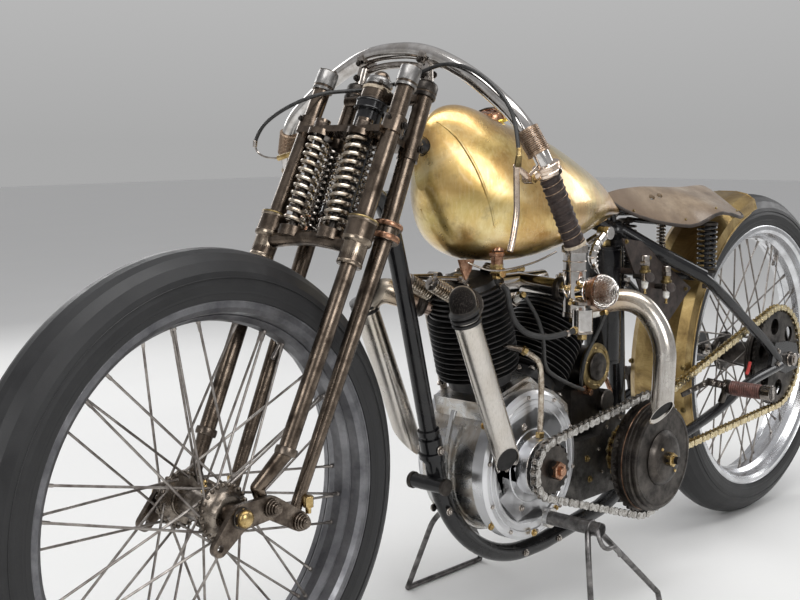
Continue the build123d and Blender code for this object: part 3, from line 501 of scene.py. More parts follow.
def tank_leaf():
    """Brass under gloss: bright gold clouds, olive and brown patina, fine vertical rubbing."""
    finish = Finish("tank", 1.0, Coat_Weight=0.7, Coat_Roughness=0.08)
    clouds = finish.clouds(0.085, 6, uneven=0.62, swirl=1.2)
    stains = finish.clouds(0.035, 8, uneven=0.7)
    rubbing = finish.clouds(0.004, 5, finish.laid(stretch=(1, 1, 7)))
    gold = finish.ramp(
        clouds,
        [
            (0.28, (0.30, 0.175, 0.050)), (0.42, (0.52, 0.34, 0.105)), (0.55, (0.68, 0.49, 0.18)),
            (0.72, (0.82, 0.68, 0.36)),
        ],
    )
    warmth = finish.clouds(0.16, 2)
    gold = finish.mixed(finish.between(warmth, 0.0, 0.55, 0.45, 0.6), gold, (0.60, 0.34, 0.13))
    gold = finish.mixed(finish.between(warmth, 0.45, 0.0, 0.36, 0.48), gold, (0.36, 0.33, 0.10))
    patina = finish.mixed(finish.between(stains, 0.0, 0.5, 0.52, 0.7), gold, (0.22, 0.13, 0.045))
    finish.colour(finish.mixed(finish.between(rubbing, 0.0, 0.28, 0.5, 0.72), patina, (0.86, 0.76, 0.44)))
    finish.roughness(finish.between(stains, 0.24, 0.42))
    finish.relief(rubbing, 0.06, 0.0008)


def fender_leaf():
    """Brown olive brass, worn bright in patches."""
    finish = Finish("fender", 1.0, Coat_Weight=0.3, Coat_Roughness=0.2)
    clouds = finish.clouds(0.07, 7, uneven=0.66, swirl=0.8)
    scratches = finish.clouds(0.003, 4, finish.laid(stretch=(1, 9, 1)))
    body = finish.ramp(
        clouds, [(0.3, (0.15, 0.095, 0.036)), (0.5, (0.36, 0.25, 0.098)), (0.72, (0.58, 0.44, 0.20))]
    )
    finish.colour(finish.mixed(finish.between(scratches, 0.0, 0.4, 0.5, 0.7), body, (0.20, 0.14, 0.05)))
    finish.roughness(finish.between(clouds, 0.46, 0.3))
    finish.relief(scratches, 0.08, 0.0008)


def saddle_leather():
    """Tan leather with worn patches, paler on top and darker along its rim and nose from painted shade,
    with a fine grain.
    """
    finish = Finish("saddle", 0.0, Coat_Weight=0.5, Coat_Roughness=0.22)
    wear = finish.clouds(0.06, 7, uneven=0.65)
    grain = finish.cells(0.0022)
    pores = finish.clouds(0.0011, 3)
    hide = finish.ramp(
        wear, [(0.3, (0.105, 0.070, 0.040)), (0.5, (0.215, 0.155, 0.097)), (0.72, (0.37, 0.29, 0.20))]
    )
    # Painted shade: the hide darkens towards the rim and nose, where the skirt turns down away from the
    # light.
    rim = finish.between(finish.reach(mm(-420, 0, 735), stretch=(1.35, 1, 3)), 0.0, 0.75, 0.085, 0.125)
    darker = finish.mixed(rim, hide, (0.10, 0.062, 0.036))
    finish.colour(finish.mixed(finish.between(pores, 0.0, 0.35), darker, (0.16, 0.10, 0.055)))
    finish.roughness(finish.between(wear, 0.5, 0.32))
    finish.relief(grain, 0.35, 0.0006)


def clouded(name, size, detail, stops, rough, metal=0.0, **sockets):
    """A finish whose colour and gloss follow soft clouds of the given size."""
    finish = Finish(name, metal, **sockets)
    clouds = finish.clouds(size, detail)
    finish.colour(finish.ramp(clouds, stops))
    finish.roughness(finish.between(clouds, *rough))
    return finish


def cable_black(name, rough=(0.35, 0.5)):
    cable = clouded(name, 0.008, 5, [(0.35, (0.010, 0.010, 0.010)), (0.7, (0.035, 0.034, 0.033))], rough)
    cable.relief(cable.clouds(0.0009, 2), 0.15, 0.0004)


def case_alloy():
    """Polished aluminium with a brown patina in patches and fine wheel marks."""
    finish = Finish("alloy", 1.0)
    patches = finish.clouds(0.045, 7, uneven=0.68, swirl=0.6)
    marks = finish.clouds(0.0022, 4, finish.laid(turn=(0, 0.5, 0), stretch=(7, 1, 1)))
    body = finish.ramp(
        patches,
        [
            (0.3, (0.30, 0.235, 0.17)), (0.43, (0.50, 0.46, 0.41)), (0.56, (0.56, 0.56, 0.5544)),
            (0.8, (0.80, 0.80, 0.80)),
        ],
    )
    finish.colour(finish.mixed(finish.between(marks, 0.0, 0.35, 0.52, 0.72), body, (0.33, 0.32, 0.31)))
    finish.roughness(finish.between(patches, 0.40, 0.16))
    finish.relief(marks, 0.10, 0.0006)


def plain_cover():
    """Evenly polished light metal with the faintest wheel marks and a few brown marks low down."""
    finish = Finish("cover", 1.0)
    haze = finish.clouds(0.09, 3)
    marks = finish.clouds(0.0016, 4, finish.laid(turn=(0, 0.6, 0), stretch=(9, 1, 1)))
    spots = finish.clouds(0.016, 6)
    body = finish.ramp(haze, [(0.3, (0.60, 0.60, 0.61)), (0.7, (0.74, 0.745, 0.76))])
    body = finish.mixed(finish.between(spots, 0.0, 0.5, 0.66, 0.78), body, (0.30, 0.23, 0.17))
    finish.colour(finish.mixed(finish.between(marks, 0.0, 0.16, 0.55, 0.75), body, (0.45, 0.44, 0.43)))
    finish.roughness(finish.between(haze, 0.34, 0.26))
    finish.relief(marks, 0.05, 0.0005)


def exhaust_steel():
    """Brushed stainless, straw, brown and blue where the pipes leave the heads."""
    finish = Finish("exhaust", 1.0)
    brushing = finish.clouds(0.0016, 4, finish.laid(stretch=(1, 1, 14)))
    haze = finish.clouds(0.04, 5)
    steel = finish.mixed(finish.between(haze, 0.0, 0.5), (0.66, 0.63, 0.59), (0.47, 0.42, 0.36))
    heat = [
        (0.0, (0.16, 0.13, 0.17)), (0.25, (0.30, 0.21, 0.15)), (0.5, (0.46, 0.33, 0.19)),
        (0.8, (0.62, 0.52, 0.36)), (1.0, (0.66, 0.60, 0.50)),
    ]
    for x, y, z, spread in (
        (255, 45, 575, 0.13), (-50, 52, 542, 0.15), (255, -45, 575, 0.13), (-50, -52, 542, 0.15)
    ):
        distance = finish.reach(mm(x, y, z))
        tint = finish.ramp(finish.between(distance, 0.0, 1.0, 0.0, spread), heat)
        steel = finish.mixed(finish.between(distance, 0.9, 0.0, spread * 0.3, spread), steel, tint)
    rough = finish.between(haze, 0.30, 0.20)
    # Near black and matte round each elbow above the clamps.
    for side in (106, -106):
        dark_elbow = finish.between(finish.reach(mm(345, side, 606)), 1.0, 0.0, 0.030, 0.044)
        steel = finish.mixed(dark_elbow, steel, (0.020, 0.018, 0.017))
        rough = finish.mixed(dark_elbow, rough, (0.85, 0.85, 0.85))
    finish.colour(finish.mixed(finish.between(brushing, 0.0, 0.35, 0.5, 0.7), steel, (0.22, 0.19, 0.17)))
    finish.roughness(rough)
    finish.relief(brushing, 0.08, 0.0005)


FORK_TURN = (0, math.radians(-29), 0)
FRONT_AXLE = middle("front_rim")
REAR_AXLE = middle("rear_rim")
tyre_rubber("tyre_front", FRONT_AXLE)
tyre_rubber("tyre_rear", REAR_AXLE)
worn_metal("rim_satin", (0.11, 0.11, 0.118), (0.24, 0.24, 0.25), (0.32, 0.5), 0.05, 0.001, (1, 12, 1))
worn_metal("rim_polished", (0.50, 0.50, 0.51), (0.78, 0.79, 0.81), (0.14, 0.3), 0.06, 0.001, (1, 10, 1))
worn_metal("spoke", (0.13, 0.11, 0.10), (0.42, 0.39, 0.36), (0.25, 0.45), 0.03)
worn_metal("hub", (0.07, 0.055, 0.043), (0.30, 0.26, 0.22), (0.18, 0.38), 0.02, 0.001, (1, 8, 1))
worn_metal("dark_steel", (0.028, 0.025, 0.023), (0.10, 0.088, 0.078), (0.28, 0.5), 0.025)
worn_metal("rust_steel", (0.09, 0.045, 0.026), (0.25, 0.16, 0.11), (0.35, 0.6), 0.012, relief=0.3)
worn_metal(
    "bronzed", (0.040, 0.030, 0.023), (0.21, 0.165, 0.128), (0.18, 0.36), 0.03, 0.0012, (1, 1, 14),
    turn=FORK_TURN,
)
worn_metal("leg_cap", (0.16, 0.155, 0.15), (0.34, 0.33, 0.32), (0.3, 0.45), 0.015)
worn_metal("spring", (0.24, 0.18, 0.125), (0.66, 0.60, 0.51), (0.16, 0.36), 0.012)
worn_metal("rocker", (0.055, 0.042, 0.034), (0.23, 0.19, 0.155), (0.2, 0.4), 0.018, 0.001, (9, 1, 1))
worn_metal("brass", (0.28, 0.185, 0.065), (0.68, 0.51, 0.25), (0.18, 0.36), 0.01)
worn_metal("old_brass", (0.11, 0.08, 0.035), (0.36, 0.27, 0.12), (0.26, 0.45), 0.012)
worn_metal("copper", (0.20, 0.095, 0.055), (0.56, 0.33, 0.215), (0.2, 0.38), 0.01)
worn_metal("chrome", (0.46, 0.43, 0.40), (0.78, 0.76, 0.74), (0.06, 0.18), 0.03, relief=0.03)
worn_metal("old_chrome", (0.20, 0.17, 0.145), (0.58, 0.54, 0.50), (0.1, 0.26), 0.018, relief=0.05)
grip = clouded(
    "grip", 0.012, 6,
    [(0.32, (0.012, 0.007, 0.006)), (0.6, (0.034, 0.021, 0.017)), (0.8, (0.075, 0.050, 0.038))],
    (0.62, 0.42), Specular_IOR_Level=0.35,
)
grip.relief(grip.cells(0.0014), 0.5, 0.0005)
worn_metal("cord", (0.30, 0.24, 0.17), (0.55, 0.47, 0.36), (0.6, 0.8), 0.004, metal=0.0)
cable_black("cable")
cable_black("hose", (0.5, 0.65))
gloss_black = clouded(
    "black", 0.04, 7,
    [(0.4, (0.005, 0.005, 0.006)), (0.75, (0.017, 0.016, 0.016))],
    (0.16, 0.34), Specular_IOR_Level=0.3, Coat_Weight=0.3, Coat_Roughness=0.08,
)
gloss_black.relief(gloss_black.clouds(0.02, 3), 0.03, 0.0005)
tank_leaf()
# A painted reflection: this bright ring at the filler cap's foot stands for the cap reflected in the tank.
worn_metal("cap_reflection_band", (0.62, 0.40, 0.04), (0.90, 0.68, 0.14), (0.25, 0.4), 0.01)
saddle_leather()
worn_metal("saddle_rim", (0.014, 0.010, 0.008), (0.050, 0.034, 0.024), (0.4, 0.6), 0.02, metal=0.0)
fender_leaf()
clouded(
    "insulator", 0.006, 5,
    [(0.35, (0.72, 0.69, 0.62)), (0.65, (0.88, 0.87, 0.83))],
    (0.18, 0.32), Coat_Weight=0.8,
)
case_alloy()
plain_cover()
iron = clouded(
    "iron", 0.02, 7,
    [(0.35, (0.009, 0.009, 0.010)), (0.6, (0.028, 0.026, 0.025)), (0.8, (0.075, 0.062, 0.052))],
    (0.52, 0.36), metal=0.35,
)
iron.relief(iron.clouds(0.0016, 4), 0.3, 0.0005)
exhaust_steel()
worn_metal("gearbox", (0.050, 0.047, 0.044), (0.19, 0.18, 0.17), (0.4, 0.6), 0.025, 0.0016, relief=0.35)
worn_metal("chain", (0.22, 0.20, 0.175), (0.60, 0.585, 0.56), (0.2, 0.36), 0.008)
worn_metal("chain_gold", (0.42, 0.33, 0.17), (0.86, 0.75, 0.50), (0.18, 0.34), 0.008)
worn_metal("brown_plate", (0.020, 0.015, 0.013), (0.070, 0.050, 0.042), (0.35, 0.55), 0.02, metal=0.4)
worn_metal("stand", (0.050, 0.048, 0.047), (0.26, 0.25, 0.245), (0.3, 0.5), 0.02)
worn_metal(
    "oxblood", (0.045, 0.018, 0.014), (0.16, 0.065, 0.050), (0.35, 0.55), 0.01, metal=0.0, relief=0.3
)
worn_metal("collar", (0.10, 0.075, 0.055), (0.36, 0.30, 0.235), (0.2, 0.38), 0.014)
# Near black: painted shade for the shaded bore inside the pipe ends, together with their soot.
worn_metal("bore_shade_and_soot", (0.006, 0.006, 0.006), (0.018, 0.016, 0.015), (0.8, 0.9), 0.02, metal=0.0)
worn_metal("binding", (0.20, 0.13, 0.085), (0.50, 0.38, 0.28), (0.3, 0.5), 0.004, 0.001)
worn_metal("pale_copper", (0.50, 0.37, 0.28), (0.88, 0.76, 0.64), (0.16, 0.32), 0.02, relief=0.05)
worn_metal("red", (0.30, 0.015, 0.012), (0.52, 0.03, 0.022), (0.35, 0.5), 0.006, metal=0.0)
clouded("floor", 0.6, 3, [(0.3, (0.76, 0.76, 0.75)), (0.7, (0.78, 0.78, 0.77))], (0.6, 0.75))

NODE_FINISH = {
    "tyre_front": ["front_tyre"], "tyre_rear": ["rear_tyre"], "rim_satin": ["front_rim"],
    "rim_polished": ["rear_rim"], "spoke": ["front_spokes", "rear_spokes"], "hub": ["front_hub"],
    "dark_steel": ["rear_hub", "rear_sprocket", "magneto", "clutch", "engine_sprocket", "foot_pegs"],
    "bronzed": ["fork_rear_legs", "fork_front_legs", "spring_plate"],
    "rocker": ["fork_rockers", "front_axle"], "old_chrome": ["rear_axle", "bar_risers"],
    "chrome": ["handlebar", "carburettor", "air_bell"],
    "grip": ["grips"], "pale_copper": ["brake_lever"],
    "black": ["frame_head", "frame_downtube", "frame_cradle", "seat_tube", "rear_stays", "oil_tank"],
    "tank": ["fuel_tank"], "copper": ["tank_fittings"], "fender": ["rear_fender"],
    "brown_plate": ["plug_plate"], "alloy": ["crankcase"], "cover": ["case_covers"],
    "iron": ["cylinders", "cylinder_heads"], "exhaust": ["exhaust_pipes"], "gearbox": ["gearbox"],
    "rust_steel": ["gearbox_sprocket"], "stand": ["stand"],
}
for finish, nodes in NODE_FINISH.items():
    for node in nodes:
        painted(NODES[node], finish)

# Wheels


SPOKE_COUNT = 40
FLANGE_Y = 44


def wheel(body, axle, well_radius, flange_radius, tread_radius, rim_finish, tyre_finish):
    """Nipples, spoke heads, rolled rim lips, tyre beads and a valve for one wheel."""
    nipple = joined([
        turned([(-3, 3.4), (1.5, 3.4), (2.5, 2.7)], 12),
        turned([(2, 2.7), (12, 2.5), (13.5, 2.1), (14, 1.9)], 6),
    ])
    head = turned([(-1.4, 2.6), (0.6, 3.2), (2.0, 2.5), (2.6, 1.0)], 10)
    nipples = []
    heads = []
    step = 360 / SPOKE_COUNT
    for side in (1, -1):
        for k in range(SPOKE_COUNT // 2):
            outside = k % 2
            head_turn = math.radians(2 * step * k + step * (side > 0))
            rim_turn = head_turn + math.radians((58 if outside else -58) - step * 0.5)
            spoke_head = axle + mm(
                flange_radius * math.cos(head_turn), side * (FLANGE_Y + (4 if outside else -4)),
                flange_radius * math.sin(head_turn),
            )
            spoke_end = axle + mm(
                well_radius * math.cos(rim_turn), side * (8 if outside else 3),
                well_radius * math.sin(rim_turn),
            )
            nipples.append((spoke_end, (spoke_head - spoke_end).normalized(), 1))
            heads.append((spoke_head, LEFT * side * (1 if outside else -1), 1))
    fitted(f"{body}_nipples", body, "spoke_steel", painted(copies(nipple, nipples), "spoke"))
    fitted(f"{body}_spoke_heads", body, "spoke_steel", painted(copies(head, heads), "spoke"))
    lips = []
    beads = []
    for side in (1, -1):
        lips.append(bead(rim_finish, beside(axle, side * 42.4), LEFT, well_radius + 31.2, 2.0, 120))
        lips.append(bead(rim_finish, beside(axle, side * 24), LEFT, well_radius + 10.2, 0.9, 120))
        for radius, y in ((well_radius + 36, 45.1), (well_radius + 41, 47.0), (tread_radius - 37, 47.6)):
            beads.append(bead(tyre_finish, beside(axle, side * y), LEFT, radius, 0.9, 120, 6))
    fitted(f"{body}_rim_lips", body, rim_finish, *lips)
    fitted(f"{body}_tyre_beads", body, "tyre", *beads)
    valve_foot = axle + Vector((math.cos(2.2), 0, math.sin(2.2))) * well_radius * MM
    inward = (axle - valve_foot).normalized()
    valve = [
        turned([(-2, 6), (1, 6), (2, 4)], 6), turned([(1, 2.6), (16, 2.6), (17, 2.0)], 16),
        turned([(15, 3.0), (16, 3.4), (24, 3.4), (25, 2.0)], 14),
    ]
    fitted(f"{body}_valve", body, "brass", painted(aimed(joined(valve), valve_foot, inward), "spoke"))


wheel("front_wheel", FRONT_AXLE, 251, 32, 350, "rim_satin", "tyre_front")
wheel("rear_wheel", REAR_AXLE, 256, 38, 356, "rim_polished", "tyre_rear")

hub_rings = []
for side in (LEFT, RIGHT):
    hub_rings.append(aimed(
        turned(
            [
                (44, 38.5), (45, 39.2), (47.5, 39.2), (49.5, 36.5), (51, 31), (55, 27), (61, 24),
                (62.6, 21), (62.8, 12),
            ],
            48,
        ),
        FRONT_AXLE, side,
    ))
    hub_rings.append(hoop(FRONT_AXLE + side * 41 * MM, LEFT, 37.2, 1.0))
    hub_rings.append(hoop(FRONT_AXLE + side * 34 * MM, LEFT, 21.6, 1.6))
HUB_BEADS = 24
HUB_BEAD_RADIUS = 37.4
ball_spots = []
for y in (40.0, -40.0, 49.0, -49.0):
    for k in range(HUB_BEADS):
        turn = 2 * math.pi * k / HUB_BEADS
        ball_spots.append((
            FRONT_AXLE + mm(HUB_BEAD_RADIUS * math.cos(turn), y, HUB_BEAD_RADIUS * math.sin(turn)), LEFT, 1
        ))
fitted(
    "front_hub_beads", "front_wheel", "hub_steel",
    painted(
        copies(
            turned([(-2.9, 0.9), (-2.3, 2.2), (-0.9, 3.1), (0.9, 3.1), (2.3, 2.2), (2.9, 0.9)], 10),
            ball_spots,
        ),
        "hub",
    ),
)
hub_bolts = ring_of(FRONT_AXLE, 23, 6, 58, 2.2, LEFT) + ring_of(FRONT_AXLE, 23, 6, -58, 2.2, RIGHT)
fitted(
    "front_hub_rings", "front_wheel", "hub_steel",
    *[painted(ring, "hub") for ring in hub_rings],
    bolts("dark_steel", hub_bolts, cheese_screw),
)
fitted(
    "hub_grease_nipple", "front_wheel", "brass",
    painted(
        aimed(
            joined([
                turned([(0, 6), (3, 6), (4, 4)], 6),
                turned([(3.5, 3.2), (9, 3.2), (10, 2.2), (12, 3), (15, 3.4), (17, 1.5)], 14),
            ]),
            FRONT_AXLE + mm(0, 10, 20), UP,
        ),
        "brass",
    ),
)

sprocket_rows = ring_of(REAR_AXLE, 34, 6, 77, 5.2, LEFT, 50)
drum_rows = ring_of(REAR_AXLE, 80, 9, 70, 3.2, LEFT)
right_rows = ring_of(REAR_AXLE, 34, 6, -47, 4.0, RIGHT)
fitted(
    "rear_hub_bolts", "rear_wheel", "hub_steel", bolts("old_brass", sprocket_rows),
    bolts("dark_steel", drum_rows, cheese_screw), bolts("old_chrome", right_rows),
    bead("dark_steel", beside(REAR_AXLE, 60), LEFT, 92.4, 1.2, 72),
    bead("dark_steel", beside(REAR_AXLE, 56), LEFT, 92.4, 1.2, 72),
    bead("hub", beside(REAR_AXLE, 70), LEFT, 62, 1.0, 60),
)

# Springer fork

RAKE = math.radians(26)
HEAD_TOP = mm(406, 0, 920)
DOWN_HEAD = Vector((math.sin(RAKE), 0, -math.cos(RAKE)))
AHEAD = Vector((math.cos(RAKE), 0, math.sin(RAKE)))
REAR_LEG_TOP = mm(379, 72, 917)
REAR_LEG_RINGS = mm(477, 78, 704)
REAR_PIVOT = mm(660, 68, 321)
FRONT_LEG_TOP = mm(429, 86, 939)
FRONT_LEG_COLLAR = mm(552, 92, 697)
FRONT_LEG_RING = mm(684, 86, 424)
FRONT_PIVOT = mm(711, 68, 352)
SPRING_TOP = mm(492, 41, 843)
SPRING_BOTTOM = mm(550, 41, 712)
REAR_SPRING_TOP = mm(458, 47, 824)
REAR_SPRING_BOTTOM = REAR_SPRING_TOP + (SPRING_BOTTOM - SPRING_TOP) * 0.93
rear_leg_up = (REAR_LEG_TOP - REAR_LEG_RINGS).normalized()
front_leg_up = (FRONT_LEG_TOP - FRONT_LEG_COLLAR).normalized()


def head_point(down):
    """A place on the steering axis, in millimetres down from the head's top."""
    return HEAD_TOP + DOWN_HEAD * down * MM


main_coil = spring("spring", SPRING_TOP, SPRING_BOTTOM, 18, 3.4, 11)
rear_coil = spring("old_chrome", REAR_SPRING_TOP, REAR_SPRING_BOTTOM, 13.5, 2.3, 13)
cores = [
    bar("dark_steel", SPRING_TOP, SPRING_BOTTOM, 6.5),
    bar("dark_steel", REAR_SPRING_TOP, REAR_SPRING_BOTTOM, 4.5),
]
springs = fitted("fork_coil_springs", "fork", "spring_nickel", both_sides(main_coil, rear_coil, *cores))
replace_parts(springs, "fork_springs")

fitted(
    "rear_leg_caps", "fork", "dark_steel",
    both_sides(lathe(
        "dark_steel",
        [
            (-20, 16.7), (-18.5, 17.3), (-15, 17.3), (-14, 16.4), (-12, 16.4), (-11, 17.2), (-1, 17.2),
            (3, 15.2), (6, 10.5), (7.3, 4.5), (7.5, 0.6),
        ],
        REAR_LEG_TOP, rear_leg_up, 32,
    )),
)
fitted(
    "front_leg_caps", "fork", "bronzed_steel",
    both_sides(lathe(
        "leg_cap",
        [
            (-30, 15.8), (-29, 16.3), (-26, 16.3), (-25.2, 15.0), (-22.4, 15.0), (-21.6, 16.2), (0, 16.0),
            (2.2, 14.6), (2.6, 11.5), (0.2, 11.2), (0.4, 4), (1.4, 3.6), (1.6, 0.6),
        ],
        FRONT_LEG_TOP, front_leg_up, 36,
    )),
)
notch_spots = []
for k in range(3):
    turn = math.radians(30 + 120 * k)
    across = front_leg_up.cross(LEFT).normalized()
    notch_spots.append((
        FRONT_LEG_TOP + (across * math.cos(turn) + LEFT * math.sin(turn)) * 13.4 * MM, front_leg_up, 1
    ))
fitted(
    "front_leg_crowns", "fork", "dark_steel",
    both_sides(painted(copies(turned([(0, 2.2), (4.0, 2.2), (4.6, 1.6)], 8), notch_spots), "dark_steel")),
)

fitted(
    "rear_leg_rings", "fork", "copper",
    both_sides(
        lathe(
            "copper",
            [(8, 19.5), (8.6, 21.6), (10.6, 22.4), (13.4, 22.4), (15.4, 21.6), (16, 19.5)],
            REAR_LEG_RINGS, rear_leg_up, 36,
        ),
        lathe(
            "copper",
            [(-12, 19.5), (-11.2, 21.6), (-9, 22.4), (-5, 22.4), (-2.8, 21.6), (-2, 19.5)],
            REAR_LEG_RINGS, rear_leg_up, 36,
        ),
    ),
)
fitted(
    "front_leg_collars", "fork", "brass",
    both_sides(lathe(
        "collar",
        [
            (-35, 17.6), (-34, 18.6), (-30, 18.6), (-29, 17.9), (-3, 18.2), (-1, 21.0), (1, 22.2),
            (5, 22.2), (6, 21.2), (29, 21.4), (30, 22.4), (35, 22.4), (36.5, 20.5), (37, 14),
        ],
        FRONT_LEG_COLLAR, front_leg_up, 40,
    )),
    both_sides(bead("old_brass", FRONT_LEG_COLLAR + front_leg_up * 34 * MM, front_leg_up, 21.4, 1.6)),
)
lower_leg_up = (FRONT_LEG_COLLAR - FRONT_LEG_RING).normalized()
fitted(
    "front_leg_joint_rings", "fork", "bronzed_steel",
    both_sides(lathe(
        "rocker",
        [(-6, 12.6), (-5.2, 15.2), (-2, 15.8), (2, 15.8), (5.2, 15.2), (6, 12.6)],
        FRONT_LEG_RING, lower_leg_up, 32,
    )),
)

plate_rows = [
    (416, 92, 824, LEFT, 4.6), (404, 66, 822, -FORWARD, 4.6), (466, 106, 858, LEFT, 4.6),
    (482, 92, 872, FORWARD, 3.6), (452, 62, 846, UP, 5.0), (440, 78, 843, UP, 3.2),
]
fitted("spring_plate_bolts", "fork", "dark_steel", both_sides(bolts("dark_steel", plate_rows)))
fitted(
    "plate_bosses", "fork", "bronzed_steel",
    both_sides(lathe(
        "rocker",
        [(0, 11.9), (2, 12.3), (15, 12.3), (17, 11.0), (19, 11.0), (20, 6)],
        mm(489, 44, 849), mm(481, 44, 868) - mm(489, 44, 849), 22,
    )),
)
fitted(
    "plate_knurled_screws", "fork", "brass",
    both_sides(lathe("old_brass", [(0, 7.5), (7, 7.5), (8.5, 6.6), (9, 3)], mm(459, 44, 846), UP, 20)),
)

LINK_OUT = 85.5
pivot_parts = []
for pivot in (FRONT_PIVOT, REAR_PIVOT):
    base = Vector((pivot.x, LINK_OUT * MM, pivot.z))
    for low, high, radius in (
        (0, 3.6, 13.0), (3.4, 7.4, 11.4), (7.2, 11.2, 9.4), (11, 14.4, 7.0), (14.2, 16, 4.2)
    ):
        disc = turned(
            [(low, radius - 0.6), (low + 0.6, radius), (high - 0.8, radius), (high, radius - 0.9)], 32
        )
        pivot_parts.append(painted(aimed(disc, base, LEFT), "rocker"))
    inner = Vector((pivot.x, 58 * MM, pivot.z))
    pivot_parts.append(lathe("dark_steel", [(0, 9), (1, 10), (4, 10), (5, 8)], inner, RIGHT, 6))
fitted("rocker_pivot_nuts", "fork", "rocker_steel", both_sides(*pivot_parts))
acorn = [
    lathe("dark_steel", [(0, 14.6), (1.8, 14.8), (2.4, 13.4)], beside(FRONT_AXLE, LINK_OUT), LEFT, 28),
    lathe(
        "brass", [(2, 12.8), (2.8, 13.8), (4.2, 13.8), (5.0, 12.6)], beside(FRONT_AXLE, LINK_OUT), LEFT, 6
    ),
    lathe(
        "brass",
        [(4.6, 12.2), (8.6, 12.4), (11.5, 11.4), (14.0, 8.8), (15.6, 4.8), (16.2, 1.2)],
        beside(FRONT_AXLE, LINK_OUT), LEFT, 32,
    ),
]
fitted("front_axle_acorn_nuts", "fork", "brass", both_sides(*acorn))
fitted(
    "rocker_oil_cups", "fork", "brass",
    both_sides(lathe(
        "brass", [(-8, 4), (0, 4.4), (1, 7.4), (15, 7.8), (16.4, 6.6), (17.4, 2)], mm(642, 82, 336), UP, 20
    )),
)

head_parts = [
    lathe(
        "leg_cap",
        [(-4, 15.4), (-3, 19.4), (0, 20.6), (3, 20.6), (8, 18.0), (11.4, 12.6), (13, 4)],
        head_point(0), -DOWN_HEAD, 40,
    ),
    lathe("dark_steel", [(0, 16.8), (0.6, 17.4), (5.6, 17.4), (6.2, 16.4)], head_point(2), DOWN_HEAD, 8),
    lathe("cord", [(0, 22.0), (0.8, 23.2), (5.2, 23.2), (6, 22.0)], head_point(8), DOWN_HEAD, 40),
    lathe("rocker", [(0, 20.6), (1, 21.7), (10, 21.7), (11, 20.6)], head_point(19), DOWN_HEAD, 40),
    lathe("dark_steel", [(0, 13.6), (1, 14.3), (4, 14.3), (5, 13.6)], head_point(-3), DOWN_HEAD, 32),
]
for k in range(3):
    turn = math.radians(50 + 120 * k)
    outward = AHEAD * math.cos(turn) + LEFT * math.sin(turn)
    head_parts.append(bar(
        "dark_steel", head_point(5) + outward * 14 * MM, head_point(3) + outward * 27 * MM, 3.6, 3.0, 10
    ))
fitted("steering_head_nuts", "fork", "dark_steel", *head_parts)
lug_rings = [hoop(head_point(down), DOWN_HEAD, 25.2, 1.3) for down in (33, 45, 205, 217)]
fitted("head_lug_rings", "frame", "black_paint", *[painted(ring, "black") for ring in lug_rings])

# Handlebar, grips, lever and cable
GRIP_END = mm(300, 285, 685)
GRIP_TOP = mm(350, 268, 800)
grip_up = (GRIP_TOP - GRIP_END).normalized()
BINDING_TOP = mm(366, 247, 850)
BINDING_BOTTOM = mm(358, 262, 819)
winding = spring("binding", BINDING_TOP, BINDING_BOTTOM, 17.2, 1.3, 12, 6, 24)
wound_ends = [
    lathe(
        "binding", [(-2, 16), (-1.4, 17.2), (1.4, 17.2), (2, 16)], place, BINDING_TOP - BINDING_BOTTOM, 28
    )
    for place in (BINDING_TOP, BINDING_BOTTOM)
]
fitted("bar_bindings", "fork", "copper", both_sides(winding, *wound_ends))
grip_length = (GRIP_TOP - GRIP_END).length * 0.9
cord_lines = spring(
    "binding", GRIP_END + grip_up * 6 * MM, GRIP_END + grip_up * grip_length, 15.5, 0.8, 9, 6, 24
)
wraps = spring(
    "grip", GRIP_END + grip_up * 9 * MM, GRIP_END + grip_up * (grip_length - 3 * MM), 16.3, 2.8, 9, 8, 24
)
end_ring = lathe("cord", [(0, 15.6), (0.8, 16.6), (4.6, 16.6), (5.6, 15.4)], GRIP_END, grip_up, 32)
top_ring = lathe(
    "cord",
    [(0, 15.2), (0.8, 16.2), (3.6, 16.2), (4.4, 15.2)],
    GRIP_END + grip_up * grip_length, grip_up, 32,
)
fitted("grip_wraps", "fork", "grip_leather", both_sides(cord_lines, wraps, end_ring, top_ring))
LEVER_PIVOT = mm(370, 255, 783)
lever_parts = [
    bolts("dark_steel", [(345, 286, 793, LEFT, 4.2), (331, 270, 803, -FORWARD, 4.2)]),
    lathe("brass", [(-10, 6.4), (-9, 7.4), (9, 7.4), (10, 6.4)], LEVER_PIVOT, LEFT, 6),
    lathe(
        "pale_copper",
        [(-3, 19.3), (-2, 20.4), (2, 20.4), (3, 19.3)],
        part_way(GRIP_END, GRIP_TOP, 0.92), grip_up, 32,
    ),
    lathe(
        "pale_copper",
        [(-3, 19.3), (-2, 20.4), (2, 20.4), (3, 19.3)],
        part_way(GRIP_END, GRIP_TOP, 1.0), grip_up, 32,
    ),
    bar("old_brass", mm(396, 254, 800), mm(397, 257, 816), 5.2, 4.4, 16),
    bar("brass", mm(397, 257, 812), mm(397, 256.4, 826), 4.2, 4.0, 6),
]
fitted("lever_fittings", "fork", "brass", *lever_parts)
riser_rows = [(386, 68, 934, FORWARD, 4.2), (386, 63, 956, FORWARD, 3.8), (360, 68, 934, -FORWARD, 4.2)]
fitted("riser_bolts", "fork", "dark_steel", both_sides(bolts("dark_steel", riser_rows)))

